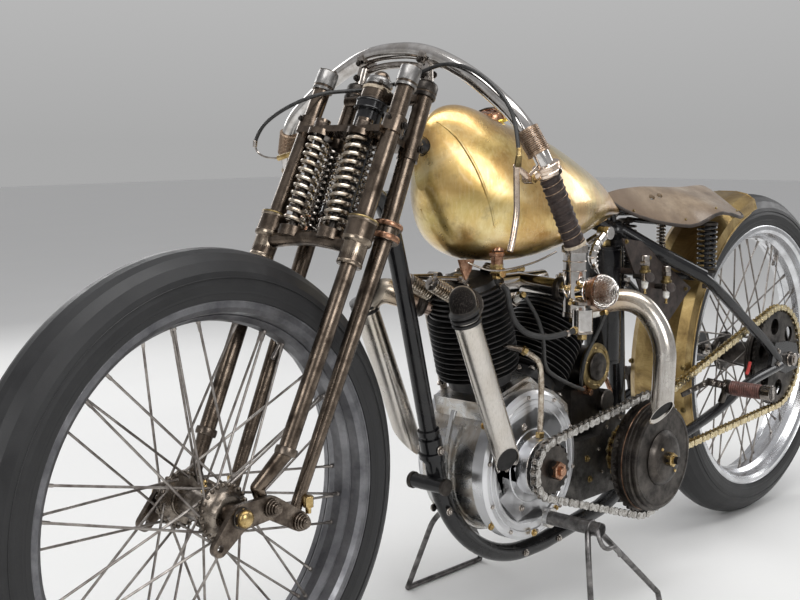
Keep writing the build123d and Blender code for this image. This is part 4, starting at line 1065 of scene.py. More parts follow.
CABLE = route(
    (397, 257, 815), (397, 254, 850), (394, 239, 884), (389, 205, 914), (386, 160, 940), (386, 112, 949),
    (389, 62, 935), (385, 15, 921), (392, -32, 915), (428, -56, 912), (466, -62, 909), (490, -92, 896),
    (502, -130, 878), (508, -160, 856), (508, -170, 836),
)
BARE_WIRE = route(
    (508, -170, 836), (506, -172, 824), (503, -160, 815), (500, -143, 812), (496, -125, 812),
    (492, -108, 818),
)
cable = fitted(
    "control_cable_and_wire", "fork", "cable_rubber", strand("cable", CABLE, 3.0),
    strand("old_chrome", BARE_WIRE, 1.6),
    bar("old_chrome", mm(508, -169, 840), mm(507.4, -171.4, 829), 3.8, 3.4, 14),
    bar("brass", mm(497, -130, 811.6), mm(491, -106, 818.4), 4.4, 4.0, 12),
    bar("brass", mm(493, -114, 816), mm(480, -97, 822), 3.2, 3.2, 12),
)
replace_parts(cable, "control_cable")

# Fuel tank, filler and tap


def tank_skin(x, z):
    """The place on the tank's left skin at the given x and z."""
    found, place, _, _ = NODES["fuel_tank"].ray_cast(mm(x, 300, z), RIGHT)
    return place if found else mm(x, 0, z)


CREASE = [(292, 866), (275, 848), (266, 821), (257, 790), (251, 762), (242, 730), (231, 695), (214, 668)]
crease = [tank_skin(x, z) for x, z in CREASE]
crease_sizes = [0.3, 0.8, 1, 1, 1, 1, 0.8, 0.3]
fitted("tank_crease", "frame", "tank_brass", both_sides(strand("tank", crease, 2.8, sizes=crease_sizes)))
SEAM = [(300, 728), (270, 678), (222, 652), (150, 641), (60, 647), (-20, 662), (-100, 677), (-168, 689)]
seam = [tank_skin(x, z) for x, z in SEAM]
fitted("tank_seam", "frame", "tank_brass", both_sides(strand("tank", seam, 1.6)))
CAP = mm(140, 0, 868)
CAP_UP = mm(4, 0, 16).normalized()
cap_parts = [
    # The bright yellow ring at the cap's foot is a painted reflection of the cap in the tank.
    lathe("cap_reflection_band", [(-3, 27.5), (-2.4, 30), (1.2, 30), (2, 28), (3.4, 27)], CAP, CAP_UP, 48),
    lathe(
        "copper",
        [
            (2, 26.2), (3, 27.2), (12, 27.2), (15, 25.4), (17, 21), (17.8, 14), (16.6, 12.4), (16.8, 4),
            (17.6, 0.6),
        ],
        CAP, CAP_UP, 32,
    ),
    strand(
        "dark_steel",
        [CAP + mm(24, -14, 12), CAP + mm(27, 0, 17), CAP + mm(20, 18, 22), CAP + mm(4, 28, 20)],
        1.6,
    ),
    strand("copper", [CAP + mm(-6, -20, 18), CAP + mm(2, 0, 21.5), CAP + mm(10, 20, 18)], 2.2),
]
notches = []
for k in range(16):
    turn = 2 * math.pi * k / 16
    notches.append((CAP + mm(27 * math.cos(turn), 27 * math.sin(turn), 3), CAP_UP, 1))
cap_parts.append(painted(copies(turned([(0, 1.6), (9, 1.6), (10, 1.0)], 8), notches), "copper"))
fitted("filler_cap_trim", "frame", "copper", *cap_parts)
PETCOCK = mm(203, 64, 658)
tap_parts = [
    lathe("copper", [(0, 12.6), (1, 13.6), (6, 13.6), (7, 12.2)], PETCOCK + mm(0, 0, -1), DOWN, 6),
    lathe("brass", [(0, 9.6), (1, 11.4), (9, 11.4), (10, 8.6)], PETCOCK + mm(0, 0, -19), DOWN, 6),
    bar("brass", PETCOCK + mm(0, -7, -34), PETCOCK + mm(0, 13, -34), 8.4, 8.4),
    lathe("brass", [(0, 6.8), (1, 7.6), (6, 7.6), (7, 6.4)], PETCOCK + mm(0, 0, -38), DOWN, 6),
    strand(
        "brass",
        [
            PETCOCK + mm(2, 9, -34), PETCOCK + mm(-22, 11, -33), PETCOCK + mm(-42, 12, -31),
            PETCOCK + mm(-52, 12, -32),
        ],
        3.6, sizes=[0.8, 0.8, 1.2, 1.5],
    ),
]
fitted("petcock_tap", "frame", "brass", *tap_parts)
HOSE = route(
    (203, 64, 612.7), (203, 64, 606), (205, 87, 599), (204, 90, 574), (198, 94, 548), (186, 100, 532),
    (172, 108, 522), (148, 122, 516), (116, 131, 518), (92, 137, 522),
)
hose = fitted(
    "fuel_hose_and_clips", "frame", "hose_rubber", strand("hose", HOSE, 5.0),
    lathe(
        "old_chrome", [(0, 5.6), (0.4, 6.2), (5, 6.2), (5.4, 5.6)], mm(203.4, 72, 603.8), mm(0, 20, -6), 20
    ),
    lathe(
        "old_chrome", [(0, 5.6), (0.4, 6.2), (5, 6.2), (5.4, 5.6)], mm(103, 134.5, 519.5), mm(11, -3.5, -2),
        20,
    ),
)
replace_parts(hose, "fuel_hose")
FUEL_LINE = route(
    (285, 60, 650), (262, 82, 634), (225, 92, 630), (175, 96, 634), (130, 98, 640), (96, 104, 652)
)
fitted("thin_metal_line", "frame", "spring_nickel", strand("old_chrome", FUEL_LINE, 1.7))
WEDGE = [(300, 652), (262, 650), (272, 630), (284, 618), (292, 632)]
fitted("tank_front_bracket", "frame", "copper", painted(cut_plate(WEDGE, 62, 67, 1.2), "copper"))

# Saddle on its springs

# Across the saddle from nose to tail: x, top, rim and half width in millimetres.
SADDLE_ROWS = [
    (-205, 735, 720, 13), (-222, 738, 706, 26), (-246, 741, 694, 40), (-282, 743, 681, 61),
    (-321, 744, 673, 80), (-355, 743, 669, 94), (-378, 742, 673, 102), (-396, 741, 681, 109),
    (-414, 740, 689, 115), (-432, 739, 692, 119), (-464, 738, 688, 123), (-499, 738, 680, 122),
    (-528, 739, 680, 112), (-551, 739, 683, 96), (-565, 738, 690, 74), (-571, 734, 704, 44),
]
SADDLE_SLOPE = 1.3
SADDLE_THICKNESS = 5.5
SADDLE_SLOTS = [(-318, 30), (-346, 30)]


def saddle_point(row, across, drop=0.0):
    """A place on the saddle's skin: a share along its rows, and from -1 to 1 across from rim to rim."""
    k = min(int(row), len(SADDLE_ROWS) - 2)
    x, top, rim, half = (a + (b - a) * (row - k) for a, b in zip(SADDLE_ROWS[k], SADDLE_ROWS[k + 1]))
    return mm(x, half * across, rim + (top - rim) * (1 - abs(across) ** SADDLE_SLOPE) - drop)


def saddle():
    """A shaped leather shell: a fine grid laid over the rows, thickened, with its two slots cut."""
    clear_selection()
    lengthways = 60
    sideways = 44
    bpy.ops.mesh.primitive_grid_add(x_subdivisions=lengthways, y_subdivisions=sideways, size=2)
    piece = bpy.context.object
    for vertex in piece.data.vertices:
        row = (vertex.co.x + 1) / 2 * (len(SADDLE_ROWS) - 1)
        vertex.co = saddle_point(row, vertex.co.y)
    open_mesh()
    bpy.ops.mesh.remove_doubles(threshold=0.00005)
    close_mesh()
    if piece.data.polygons[lengthways * sideways // 2].normal.z < 0:
        piece.data.flip_normals()
    worked(piece, "SMOOTH", factor=0.5, iterations=3)
    worked(piece, "SOLIDIFY", thickness=SADDLE_THICKNESS * MM, offset=-1)
    for x, y in SADDLE_SLOTS:
        cutter = turned([(0, 3.6), (60, 3.6)], 20)
        cutter.scale = (2.6, 1.4, 1)
        cutter.rotation_euler = (0, 0, math.radians(12))
        cutter.location = mm(x, y, 700)
        pick(cutter)
        settle()
        worked(piece, "BOOLEAN", operation="DIFFERENCE", solver="EXACT", object=cutter)
        bpy.data.objects.remove(cutter)
    return piece


seat = fitted("saddle_hide", "frame", "saddle_leather", painted(saddle(), "saddle"), smooth=50)
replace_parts(seat, "saddle")
LAST_ROW = len(SADDLE_ROWS) - 1
rim_line = [saddle_point(row / 2, 1.0, 1.5) for row in range(2 * LAST_ROW + 1)]
rim_line += [right_side(point) for point in reversed(rim_line)]
fitted("saddle_rim_bead", "frame", "saddle_leather", strand("saddle_rim", rim_line, 3.4, closed=True))
under = route(
    (-224, 0, 706), (-262, 24, 694), (-330, 48, 689), (-424, 78, 684), (-500, 64, 688), (-540, 34, 694),
    (-548, 0, 698),
)
under_frame = [
    both_sides(strand("black", under, 5.0)),
    strand(
        "black",
        route((-424, 92, 671), (-418, 45, 668), (-416, 0, 668), (-418, -45, 668), (-424, -92, 671)),
        5.0,
    ),
    bar("black", mm(-224, -16, 704), mm(-224, 16, 704), 7.5),
    bar("black", mm(-224, 0, 704), mm(-232, 0, 672), 7.0),
]
fitted("saddle_under_frame", "frame", "black_paint", *under_frame)
rivet_rows = []
for row in (2, 5, 9, 12):
    for side in (1, -1):
        rivet = saddle_point(row, side * 0.88) / MM
        rivet_rows.append((*rivet, (LEFT * side + UP * 0.3).normalized(), 2.6))
fitted("saddle_rivets", "frame", "brass", bolts("old_brass", rivet_rows, cheese_screw))
SEAT_SPRING = mm(-424, 92, 575)
seat_coil = spring("black", SEAT_SPRING, SEAT_SPRING + mm(0, 0, 92), 20.0, 2.9, 9, 8, 24)
seat_core = [
    bar("black", SEAT_SPRING - mm(0, 0, 18), SEAT_SPRING + mm(0, 0, 2), 13, 14),
    bar("dark_steel", SEAT_SPRING, SEAT_SPRING + mm(0, 0, 95), 5),
    lathe("dark_steel", [(-2, 20), (-1, 21), (2, 21), (3, 19)], SEAT_SPRING, UP, 28),
    lathe("dark_steel", [(90, 19), (91, 20.5), (96, 20.5), (98, 16)], SEAT_SPRING, UP, 28),
    lathe("old_chrome", [(-34, 8), (-33, 9), (-26, 9), (-25, 8)], SEAT_SPRING, UP, 6),
]
NOSE_SPRING = mm(-404, 0, 571)
nose_parts = [
    spring("old_chrome", NOSE_SPRING, NOSE_SPRING + mm(0, 0, 100), 10, 1.9, 14),
    bar("dark_steel", NOSE_SPRING, NOSE_SPRING + mm(0, 0, 104), 3.4),
]
seat_springs = fitted(
    "saddle_coil_springs", "frame", "black_paint", both_sides(seat_coil, *seat_core), *nose_parts
)
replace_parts(seat_springs, "saddle_springs")

# Fender, oil tank and spare plugs


def around(radius, degrees, y):
    turn = math.radians(degrees)
    return REAR_AXLE + mm(radius * math.cos(turn), y, radius * math.sin(turn))


edges = [both_sides(strand("fender", [around(338, angle, 65.4) for angle in range(-18, 77, 5)], 2.2))]
for angle in (-18.4, 76.4):
    across = [
        around(radius, angle, y)
        for radius, y in (
            (339, 65), (359, 61.5), (371, 44.5), (375, 20), (375, -20), (371, -44.5), (359, -61.5),
            (339, -65),
        )
    ]
    edges.append(strand("fender", across, 1.8))
fitted("fender_rolled_edges", "frame", "fender_brass", *edges)
fender_rows = []
for angle in (-10, 4, 34, 62):
    for side in (1, -1):
        spot = around(361, angle, side * 60) / MM
        outward = (around(361, angle, side * 60) - around(330, angle, side * 20)).normalized()
        fender_rows.append((spot.x, spot.y, spot.z, outward, 4.4))
fitted("fender_bolts", "frame", "brass", bolts("old_brass", fender_rows))
OIL_TOP = mm(-193, 0, 636)
oil_parts = [
    lathe("old_brass", [(0, 15.6), (1, 17), (9, 17), (12, 15), (14, 9), (14.5, 0.6)], OIL_TOP, UP, 24),
    bead("black", mm(-199, 0, 630), UP, 34.2, 1.2),
    bead("black", mm(-199, 0, 420), UP, 34.2, 1.2),
    lathe("brass", [(0, 7), (1, 8), (9, 8), (10, 6.6)], mm(-199, 0, 402), DOWN, 6),
    strand(
        "copper",
        route((-199, 0, 396), (-196, 14, 378), (-180, 34, 360), (-160, 44, 338), (-150, 46, 322)),
        4.2,
    ),
]
fitted("oil_tank_fittings", "frame", "brass", *oil_parts)

PLUG_STEPS = [
    # from, to and their radii down from the top, finish
    ([(0, 7.2), (1, 8.2), (10, 8.2), (11, 7.4)], 24, "old_chrome"),
    ([(10.5, 9.2), (11.5, 10.0), (18, 10.0), (19, 9.0)], 6, "old_chrome"),
    ([(19, 7.6), (26.5, 7.8), (27, 10.0), (28, 10.6), (32, 10.6), (33, 9.6)], 24, "old_brass"),
    ([(33, 7.8), (47, 7.9), (48, 6.6)], 24, "old_chrome"),
    ([(47.5, 6.4), (52, 6.8), (55, 6.0), (57, 6.4), (60, 5.6), (62, 4.2)], 20, "insulator"),
    ([(61.5, 3.0), (63, 3.0), (64, 2.4), (69, 2.4), (70, 3.4), (71.5, 3.4), (72, 2.4)], 14, "brass"),
]
spare_parts = []
for x, top in ((-211, 622), (-287, 596)):
    for steps, sides, finish in PLUG_STEPS:
        spare_parts.append(lathe(finish, steps, mm(x, 84, top), DOWN, sides))
    spare_parts.append(bar("dark_steel", mm(x, 60, top - 40.5), mm(x, 84, top - 40.5), 5, 5, 12))
    oval = []
    for k in range(20):
        turn = 2 * math.pi * k / 20
        oval.append((x + 15 * math.cos(turn) + 3 * math.sin(turn), top - 40.5 + 9.5 * math.sin(turn)))
    spare_parts.append(painted(cut_plate(oval, 93, 96, 0.8), "brown_plate"))
spare = fitted("spare_spark_plugs", "frame", "spare_plug", *spare_parts)
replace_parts(spare, "spare_plugs")
fitted(
    "plug_plate_bolts", "frame", "dark_steel",
    bolts(
        "old_brass",
        [
            (-182, 61, 648, LEFT, 3.6), (-262, 61, 612, LEFT, 3.6), (-398, 61, 540, LEFT, 3.6),
            (-320, 61, 486, LEFT, 3.6), (-268, 61, 506, LEFT, 3.6),
        ],
    ),
)

# Engine
CRANK = mm(133, 0, 293)
FRONT_LEAN = 14
REAR_LEAN = -36
HEAD_LOW = 274.4


def along(lean, distance, ahead=0.0, side=0.0):
    """A place on a cylinder: out along its axis, ahead of it and to the left, in millimetres."""
    turn = math.radians(lean)
    axis = Vector((math.sin(turn), 0, math.cos(turn)))
    forward = Vector((math.cos(turn), 0, -math.sin(turn)))
    return CRANK + (axis * distance + forward * ahead + LEFT * side) * MM


def axis_of(lean):
    return (along(lean, 1) - CRANK).normalized()


VALVES = [
    # lean, ahead at foot, side, up at foot, ahead at tip, up at tip, coil radius
    (FRONT_LEAN, 58, 25, 44, 102, 82, 12.5),
    (FRONT_LEAN, 58, -25, 44, 102, 82, 12.5),
    (FRONT_LEAN, -34, 24, 54, -44, 60, 10.5),
    (REAR_LEAN, -52, 20, 46, -82, 70, 12.5),
    (REAR_LEAN, -52, -20, 46, -82, 70, 12.5),
    (REAR_LEAN, 34, 24, 54, 46, 68, 10.5),
]
valve_parts = []
for lean, foot_ahead, side, foot_up, tip_ahead, tip_up, radius in VALVES:
    foot = along(lean, HEAD_LOW + foot_up, foot_ahead, side)
    tip = along(lean, HEAD_LOW + tip_up, tip_ahead, side)
    up_valve = (tip - foot).normalized()
    length = (tip - foot).length / MM
    turns = max(2, round(length / 6.2))
    valve_parts.append(spring("spring", foot, tip, radius + 0.8, 2.0, turns))
    valve_parts.append(bar("dark_steel", foot, tip, 3.4))
    valve_parts.append(lathe(
        "dark_steel",
        [(-3, radius - 1), (-2, radius + 1.2), (1, radius + 1.2), (2, radius - 1)],
        foot, up_valve, 24,
    ))
    valve_parts.append(lathe(
        "old_chrome",
        [(-2, radius - 1), (-1, radius), (1.4, radius), (2.6, 6), (5, 5), (5.4, 2)],
        tip - up_valve * MM, up_valve, 24,
    ))
valves = fitted("valve_coil_springs", "frame", "spring_nickel", *valve_parts)
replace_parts(valves, "valve_springs")

rocker_parts = []
for lean, tip_ahead, tip_up in ((FRONT_LEAN, 104, 85), (REAR_LEAN, -84, 73)):
    for side in (25, -25):
        pivot = along(lean, HEAD_LOW + 66, tip_ahead * 0.36, side * 1.1)
        tip = along(lean, HEAD_LOW + tip_up + 4, tip_ahead * 0.97, side * 0.9)
        rocker_parts.append(bar("old_chrome", pivot, tip, 6.0, 4.0, 12))
        rocker_parts.append(bar("old_chrome", pivot - LEFT * 11 * MM, pivot + LEFT * 11 * MM, 9.0, 9.0, 18))
        rocker_parts.append(bar(
            "iron", pivot, along(lean, HEAD_LOW + 50, tip_ahead * 0.36, side * 1.1), 7, 9, 14
        ))
fitted("rocker_arms", "frame", "spring_nickel", *rocker_parts)

head_rows = []
for lean in (FRONT_LEAN, REAR_LEAN):
    for ahead, side in ((36, 36), (-36, 36), (36, -36), (-36, -36)):
        spot = along(lean, HEAD_LOW + 49, ahead * 0.9, side) / MM
        head_rows.append((spot.x, spot.y, spot.z, axis_of(lean), 6.0))
    for ahead, side in ((50, 50), (-50, 50), (50, -50), (-50, -50)):
        spot = along(lean, 152, ahead, side * 0.9) / MM
        head_rows.append((spot.x, spot.y, spot.z, axis_of(lean), 5.0))
fitted("cylinder_nuts", "frame", "dark_steel", bolts("old_chrome", head_rows))

PLUG_SETS = [(mm(146, 52, 568), mm(160, 85, 585)), (mm(-46, 58, 522), mm(-52, 104, 534))]
plug_parts = []
for foot, cap in PLUG_SETS:
    aim = (cap - foot).normalized()
    reach = (cap - foot).length / MM
    plug_parts.append(lathe("old_chrome", [(0, 9), (1, 10.4), (9, 10.4), (10, 9)], foot, aim, 6))
    plug_parts.append(lathe("old_chrome", [(9, 7.6), (12, 7.4), (14, 6)], foot, aim, 20))
    plug_parts.append(lathe(
        "insulator", [(13, 5.6), (reach * 0.72, 5.0), (reach * 0.78, 3.4)], foot, aim, 18
    ))
    plug_parts.append(lathe(
        "brass",
        [
            (reach * 0.74, 3.0), (reach * 0.84, 3.0), (reach * 0.86, 5.2), (reach * 1.04, 5.2),
            (reach * 1.1, 3),
        ],
        foot, aim, 16,
    ))
fitted("engine_spark_plugs", "frame", "brass", *plug_parts)
FRONT_LEAD = route(
    (160, 85, 585), (136, 90, 556), (118, 91, 523), (108, 89, 493), (104, 86, 465), (82, 80, 443),
    (38, 79, 422), (-14, 68, 402), (-55, 56, 390),
)
REAR_LEAD = route(
    (-52, 104, 534), (-42, 99, 506), (-31, 90, 480), (-25, 80, 454), (-29, 72, 430), (-40, 62, 408),
    (-58, 50, 392),
)
leads = fitted(
    "ignition_wires", "frame", "cable_rubber", strand("cable", FRONT_LEAD, 3.5),
    strand("cable", REAR_LEAD, 3.5),
)
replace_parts(leads, "ignition_leads")

cover_rows = ring_of(CRANK, 118, 10, 84.5, 3.8, LEFT, 12)
boss_rows = ring_of(CRANK, 41, 6, 108, 2.6, LEFT, 30)
face_rows = [(158, 85, 363, LEFT, 4.8), (164, 85, 226, LEFT, 4.8), (204, 85, 300, LEFT, 3.4)]
timing_rows = ring_of(CRANK, 88, 9, -86, 3.4, RIGHT, 5)
fitted(
    "case_screws", "frame", "hub_steel",
    bolts("old_chrome", cover_rows, cheese_screw),
    bolts("dark_steel", boss_rows, cheese_screw), bolts("old_chrome", face_rows),
    bolts("old_chrome", timing_rows, cheese_screw),
)
fitted(
    "brass_studs", "frame", "brass",
    bolts(
        "brass",
        [
            (136, 90, 178, LEFT, 5.0), (232, 74, 208, LEFT, 5.0), (66, 85, 204, LEFT, 4.0),
            (236, 62, 376, LEFT, 5.0),
        ],
    ),
)
cover_rings = [
    lathe("cover", [(-0.5, 104), (1.4, 103.4), (1.6, 99), (0.6, 98)], beside(CRANK, 84.4), LEFT, 72),
    bead("cover", beside(CRANK, 85.6), LEFT, 112, 1.2, 96),
    bead("cover", beside(CRANK, 85.4), LEFT, 62, 1.4, 72),
    bead("alloy", beside(CRANK, 108), LEFT, 47, 1.2, 60),
    bead("alloy", beside(CRANK, 108.2), LEFT, 33, 1.0, 60),
    bead("cover", beside(CRANK, -86), LEFT, 95, 1.6, 96),
    bead("cover", beside(CRANK, -86), LEFT, 52, 1.4, 72),
    lathe("alloy", [(0, 50), (3, 50), (5, 47), (5.2, 20)], beside(CRANK, -86), RIGHT, 48),
]
fitted("cover_ridges", "frame", "cover_alloy", *cover_rings)
PANEL = [
    (176, 412), (112, 430), (44, 404), (2, 374), (-6, 330), (4, 304), (60, 322), (112, 336), (160, 372)
]
panel_parts = [
    painted(cut_plate(PANEL, 57, 63, 2.0), "alloy"),
    strand("alloy", route((170, 64, 404), (112, 66, 421), (46, 66, 395), (8, 64, 366)), 3.2),
    bolts(
        "old_chrome",
        [
            (150, 63, 396, LEFT, 3.6), (28, 63, 374, LEFT, 3.6), (16, 63, 326, LEFT, 3.6),
            (98, 63, 412, LEFT, 3.6),
        ],
    ),
]
fitted("case_side_panel", "frame", "engine_alloy", *panel_parts)
FLANGE = route(
    (236, 0, 392), (262, 0, 330), (258, 0, 256), (214, 0, 196), (160, 0, 172), (96, 0, 174), (40, 0, 208)
)
fitted("case_joint_rib", "frame", "engine_alloy", strand("alloy", FLANGE, 5.0))
BREATHER = route(
    (171, 95, 494), (156, 98, 486), (137, 100, 474), (130, 100, 452), (130, 100, 400), (130, 98, 346)
)
breather_parts = [
    strand("spring", BREATHER, 5.0),
    lathe("brass", [(0, 7), (1, 8), (9, 8), (10, 6.6)], mm(130, 98, 352), DOWN, 6),
    bar("old_chrome", mm(130, 98, 344), mm(130, 84, 338), 6),
    lathe("brass", [(0, 6.4), (1, 7.4), (8, 7.4), (9, 6)], mm(174, 94, 497), mm(-12, 4, -8), 6),
    bar("old_chrome", mm(172, 94, 495), mm(182, 62, 500), 5.4),
]
fitted("breather_tube", "frame", "spring_nickel", *breather_parts)
push_parts = []
for lean in (FRONT_LEAN, REAR_LEAN):
    for ahead in (-16, 16):
        foot = along(lean, 96, ahead * 0.9, -72)
        top = along(lean, HEAD_LOW + 44, ahead * 2.1, -62)
        way = (top - foot).normalized()
        push_parts.append(bar("old_chrome", foot, top, 6.4))
        push_parts.append(lathe("dark_steel", [(0, 9.5), (1, 10.5), (12, 10.5), (14, 7)], foot, way, 6))
        push_parts.append(lathe(
            "dark_steel", [(0, 7), (2, 9.4), (8, 9.4), (9, 8)], top - way * 12 * MM, way, 20
        ))
fitted("pushrod_tubes", "frame", "chrome", *push_parts)

# Carburettor and air horn
CARB = mm(63, 118, 583)
FLOAT_BOWL = CARB + mm(8, 22, 0)
HORN_AIM = (mm(62, 173, 587) - CARB).normalized()
horn_foot = CARB + HORN_AIM * 12 * MM
carb_parts = [
    lathe(
        "old_chrome",
        [(66, 19.4), (67, 22.2), (77, 22.2), (79, 19), (80, 9), (84, 8), (85, 5)],
        CARB, UP, 36,
    ),
    lathe("brass", [(84, 4), (96, 4), (97, 3)], CARB, UP, 6),
    lathe("old_chrome", [(-42, 14), (-41, 20.4), (-34, 20.4), (-33, 19.4)], CARB, UP, 32),
    lathe("brass", [(-52, 8), (-51, 9.4), (-42, 9.4), (-41, 8)], CARB, UP, 6),
    bead("old_chrome", CARB + mm(0, 0, 36), UP, 19.2, 1.3),
    bead("old_chrome", CARB + mm(0, 0, 52), UP, 19.2, 1.3),
    lathe(
        "old_chrome",
        [(-19, 17.4), (-18, 18.6), (-13, 18.6), (-11, 15), (-9, 7), (-4, 6.4), (-3, 3), (4, 3), (5, 1.4)],
        FLOAT_BOWL, UP, 32,
    ),
    lathe("old_chrome", [(-68, 12), (-67, 17.8), (-63, 17.8), (-62, 17)], FLOAT_BOWL, UP, 32),
    lathe("brass", [(-78, 7), (-77, 8.6), (-69, 8.6), (-68, 7)], FLOAT_BOWL, UP, 6),
    bar("brass", mm(92, 137, 522), mm(76, 139, 525), 7.0, 6.0, 6),
    bar("brass", CARB + mm(20, 0, 8), CARB + mm(32, 2, 10), 5.2, 4.4, 12),
    bar("brass", CARB + mm(17, 6, -12), CARB + mm(30, 12, -16), 4.2, 3.6, 6),
    bar("chrome", mm(82, 116, 575), mm(99, 119, 592), 2.8, 2.4, 10),
    lathe("dark_steel", [(0, 20.5), (1, 22), (9, 22), (10, 20.5)], mm(63, 86, 585), LEFT, 32),
    bolts("brass", [(63, 96, 612, LEFT, 3.6), (63, 96, 558, LEFT, 3.6), (80, 137, 600, LEFT, 3.0)]),
]
fitted("carburettor_fittings", "frame", "brass", *carb_parts)
band_start = CARB + HORN_AIM * 31 * MM
band_end = CARB + HORN_AIM * 53 * MM
horn_parts = [
    lathe(
        "copper",
        [(0, 22.2), (0.8, 23.2), (2.4, 23.2), (3.2, 22.9), (20, 28.0), (21, 29.4), (23, 29.4), (23.4, 27)],
        band_start, HORN_AIM, 48,
    ),
    bead("chrome", band_start, HORN_AIM, 22.4, 1.2),
    lathe("old_chrome", [(0, 16.5), (1, 18), (5, 18), (6, 16.8)], horn_foot, HORN_AIM, 32),
]
fitted("air_horn_band", "frame", "copper", *horn_parts)


def gauze_dome():
    """A half globe of woven wire with diamond gaps."""
    clear_selection()
    bpy.ops.mesh.primitive_uv_sphere_add(segments=30, ring_count=18, radius=28.6 * MM)
    dome = bpy.context.object
    bpy.ops.object.mode_set(mode="EDIT")
    choose(dome, lambda co: co.z < -0.0001)
    bpy.ops.mesh.delete(type="VERT")
    corner_count = len(bmesh.from_edit_mesh(dome.data).verts)
    bpy.ops.mesh.select_all(action="SELECT")
    bpy.ops.mesh.poke()
    bpy.ops.mesh.select_mode(type="EDGE")
    bpy.ops.mesh.select_all(action="DESELECT")
    mesh = bmesh.from_edit_mesh(dome.data)
    for edge in mesh.edges:
        edge.select_set(all(vertex.index < corner_count for vertex in edge.verts) and not edge.is_boundary)
    bmesh.update_edit_mesh(dome.data)
    bpy.ops.mesh.dissolve_edges(use_verts=False)
    bpy.ops.object.mode_set(mode="OBJECT")
    worked(dome, "WIREFRAME", thickness=0.0011, use_even_offset=False)
    return aimed(dome, band_end, HORN_AIM)


screen = fitted(
    "air_horn_gauze", "frame", "chrome", painted(gauze_dome(), "chrome"),
    lathe(
        "rust_steel",
        [(-1, 25.5), (5, 25.0), (12, 22.0), (18, 16.4), (22, 9.0), (23.2, 1)],
        band_end, HORN_AIM, 36,
    ),
)
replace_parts(screen, "bell_screen")
claw = wire(
    route((-118, 60, 668), (-104, 60, 660), (-84, 60, 646), (-72, 60, 628), (-80, 60, 611), (-97, 60, 594)),
    8.5, sizes=[1.0, 0.9, 1.0, 1.0, 0.7, 0.15],
)
claw_ridges = [
    bead("chrome", place, aim, radius, 1.3, 20, 6)
    for place, aim, radius in (
        (mm(-92, 60, 653), mm(20, 0, -14), 8.4), (mm(-84, 60, 645), mm(14, 0, -18), 8.6),
        (mm(-78.5, 60, 637), mm(8, 0, -20), 8.6), (mm(-76, 60, 628), mm(0, 0, -20), 8.2),
        (mm(-77.5, 60, 619), mm(-10, 0, -20), 7.4), (mm(-82, 60, 611), mm(-16, 0, -16), 6.2),
    )
]
fitted(
    "claw_lever", "frame", "chrome", painted(claw, "chrome"), *claw_ridges,
    bar("chrome", mm(-118, 70, 668), mm(-118, 46, 668), 12, 12, 14),
    bar("old_chrome", mm(-118, 50, 668), mm(-112, 24, 650), 5.0, 6.0, 14),
)

# Exhausts
port_parts = []
for start, end, radius in (
    (mm(248, 40, 570), mm(351, 108, 609), 21), (mm(-45, 46, 540), mm(-102, 138, 561), 20)
):
    way = (end - start).normalized()
    port_parts.append(lathe(
        "dark_steel",
        [
            (10, radius + 0.6), (10.8, radius + 4.6), (13, radius + 5.4), (24, radius + 5.4),
            (26, radius + 4.4), (26.6, radius + 0.6),
        ],
        start, way, 36,
    ))
    port_parts.append(bead("dark_steel", start + way * 14 * MM, way, radius + 5.4, 1.0))
    port_parts.append(bead("dark_steel", start + way * 22 * MM, way, radius + 5.4, 1.0))
    port_parts.append(bolts("old_chrome", [(*((start + way * 18 * MM) / MM + UP * (radius + 4)), UP, 4.0)]))

PIPE_END_FACES = Vector((0.2, 0.75, -0.63))


def bore_shade_and_soot(cut, way, radius):
    """A dark plug just inside a pipe's slanted end: painted shade for the pipe's shaded bore, and its soot.
    """
    plug = rod(cut - way * 60 * MM, cut + way * 60 * MM, radius)
    open_mesh()
    bpy.ops.mesh.bisect(
        plane_co=cut - way * 5 * MM, plane_no=PIPE_END_FACES, use_fill=True, clear_outer=True
    )
    bpy.ops.object.mode_set(mode="OBJECT")
    return painted(plug, "bore_shade_and_soot")


port_parts.append(bore_shade_and_soot(mm(230, 108, 323), mm(-129, 0, -305).normalized(), 18.4))
port_parts.append(bore_shade_and_soot(mm(-101, 190, 359), mm(12, 0, -160).normalized(), 17.6))
collar_aim = mm(-129, 0, -305).normalized()
collar_foot = mm(338, 108, 577)
for distance in (0, 8, 16):
    port_parts.append(lathe(
        "iron",
        [(-3, 21.2), (-2, 23.6), (2, 23.6), (3, 21.2)],
        collar_foot + collar_aim * distance * MM, collar_aim, 36,
    ))
fitted("exhaust_clamps", "frame", "dark_steel", both_sides(*port_parts))

# Magneto, gearbox and clutch
MAGNETO = mm(-100, 0, 425)
magneto_parts = [
    lathe(
        "old_brass", [(46, 41.4), (47, 43), (53, 43), (55, 41), (55.4, 34), (54.4, 33)], MAGNETO, LEFT, 60
    ),
    lathe("dark_steel", [(54, 26), (58, 26), (60, 24), (60.6, 12), (62, 10), (62.4, 4)], MAGNETO, LEFT, 40),
    bolts("brass", ring_of(MAGNETO, 36, 6, 54.4, 2.8, LEFT, 20), cheese_screw),
    bar("copper", mm(-77, 40, 382), mm(-77, 60, 381), 7.5, 6, 6),
    bar("copper", mm(-58, 40, 391), mm(-58, 58, 391), 6, 5, 14),
    lathe("dark_steel", [(38, 19.6), (39, 21), (57, 21), (59, 19)], mm(-132, 0, 357), LEFT, 36),
]
fitted("magneto_fittings", "frame", "brass", *magneto_parts)
MAINSHAFT = mm(-155, 0, 262)
gearbox_rows = ring_of(MAINSHAFT, 58, 8, 62, 3.6, LEFT, 10) + ring_of(MAINSHAFT, 58, 8, -66, 3.6, RIGHT, 10)
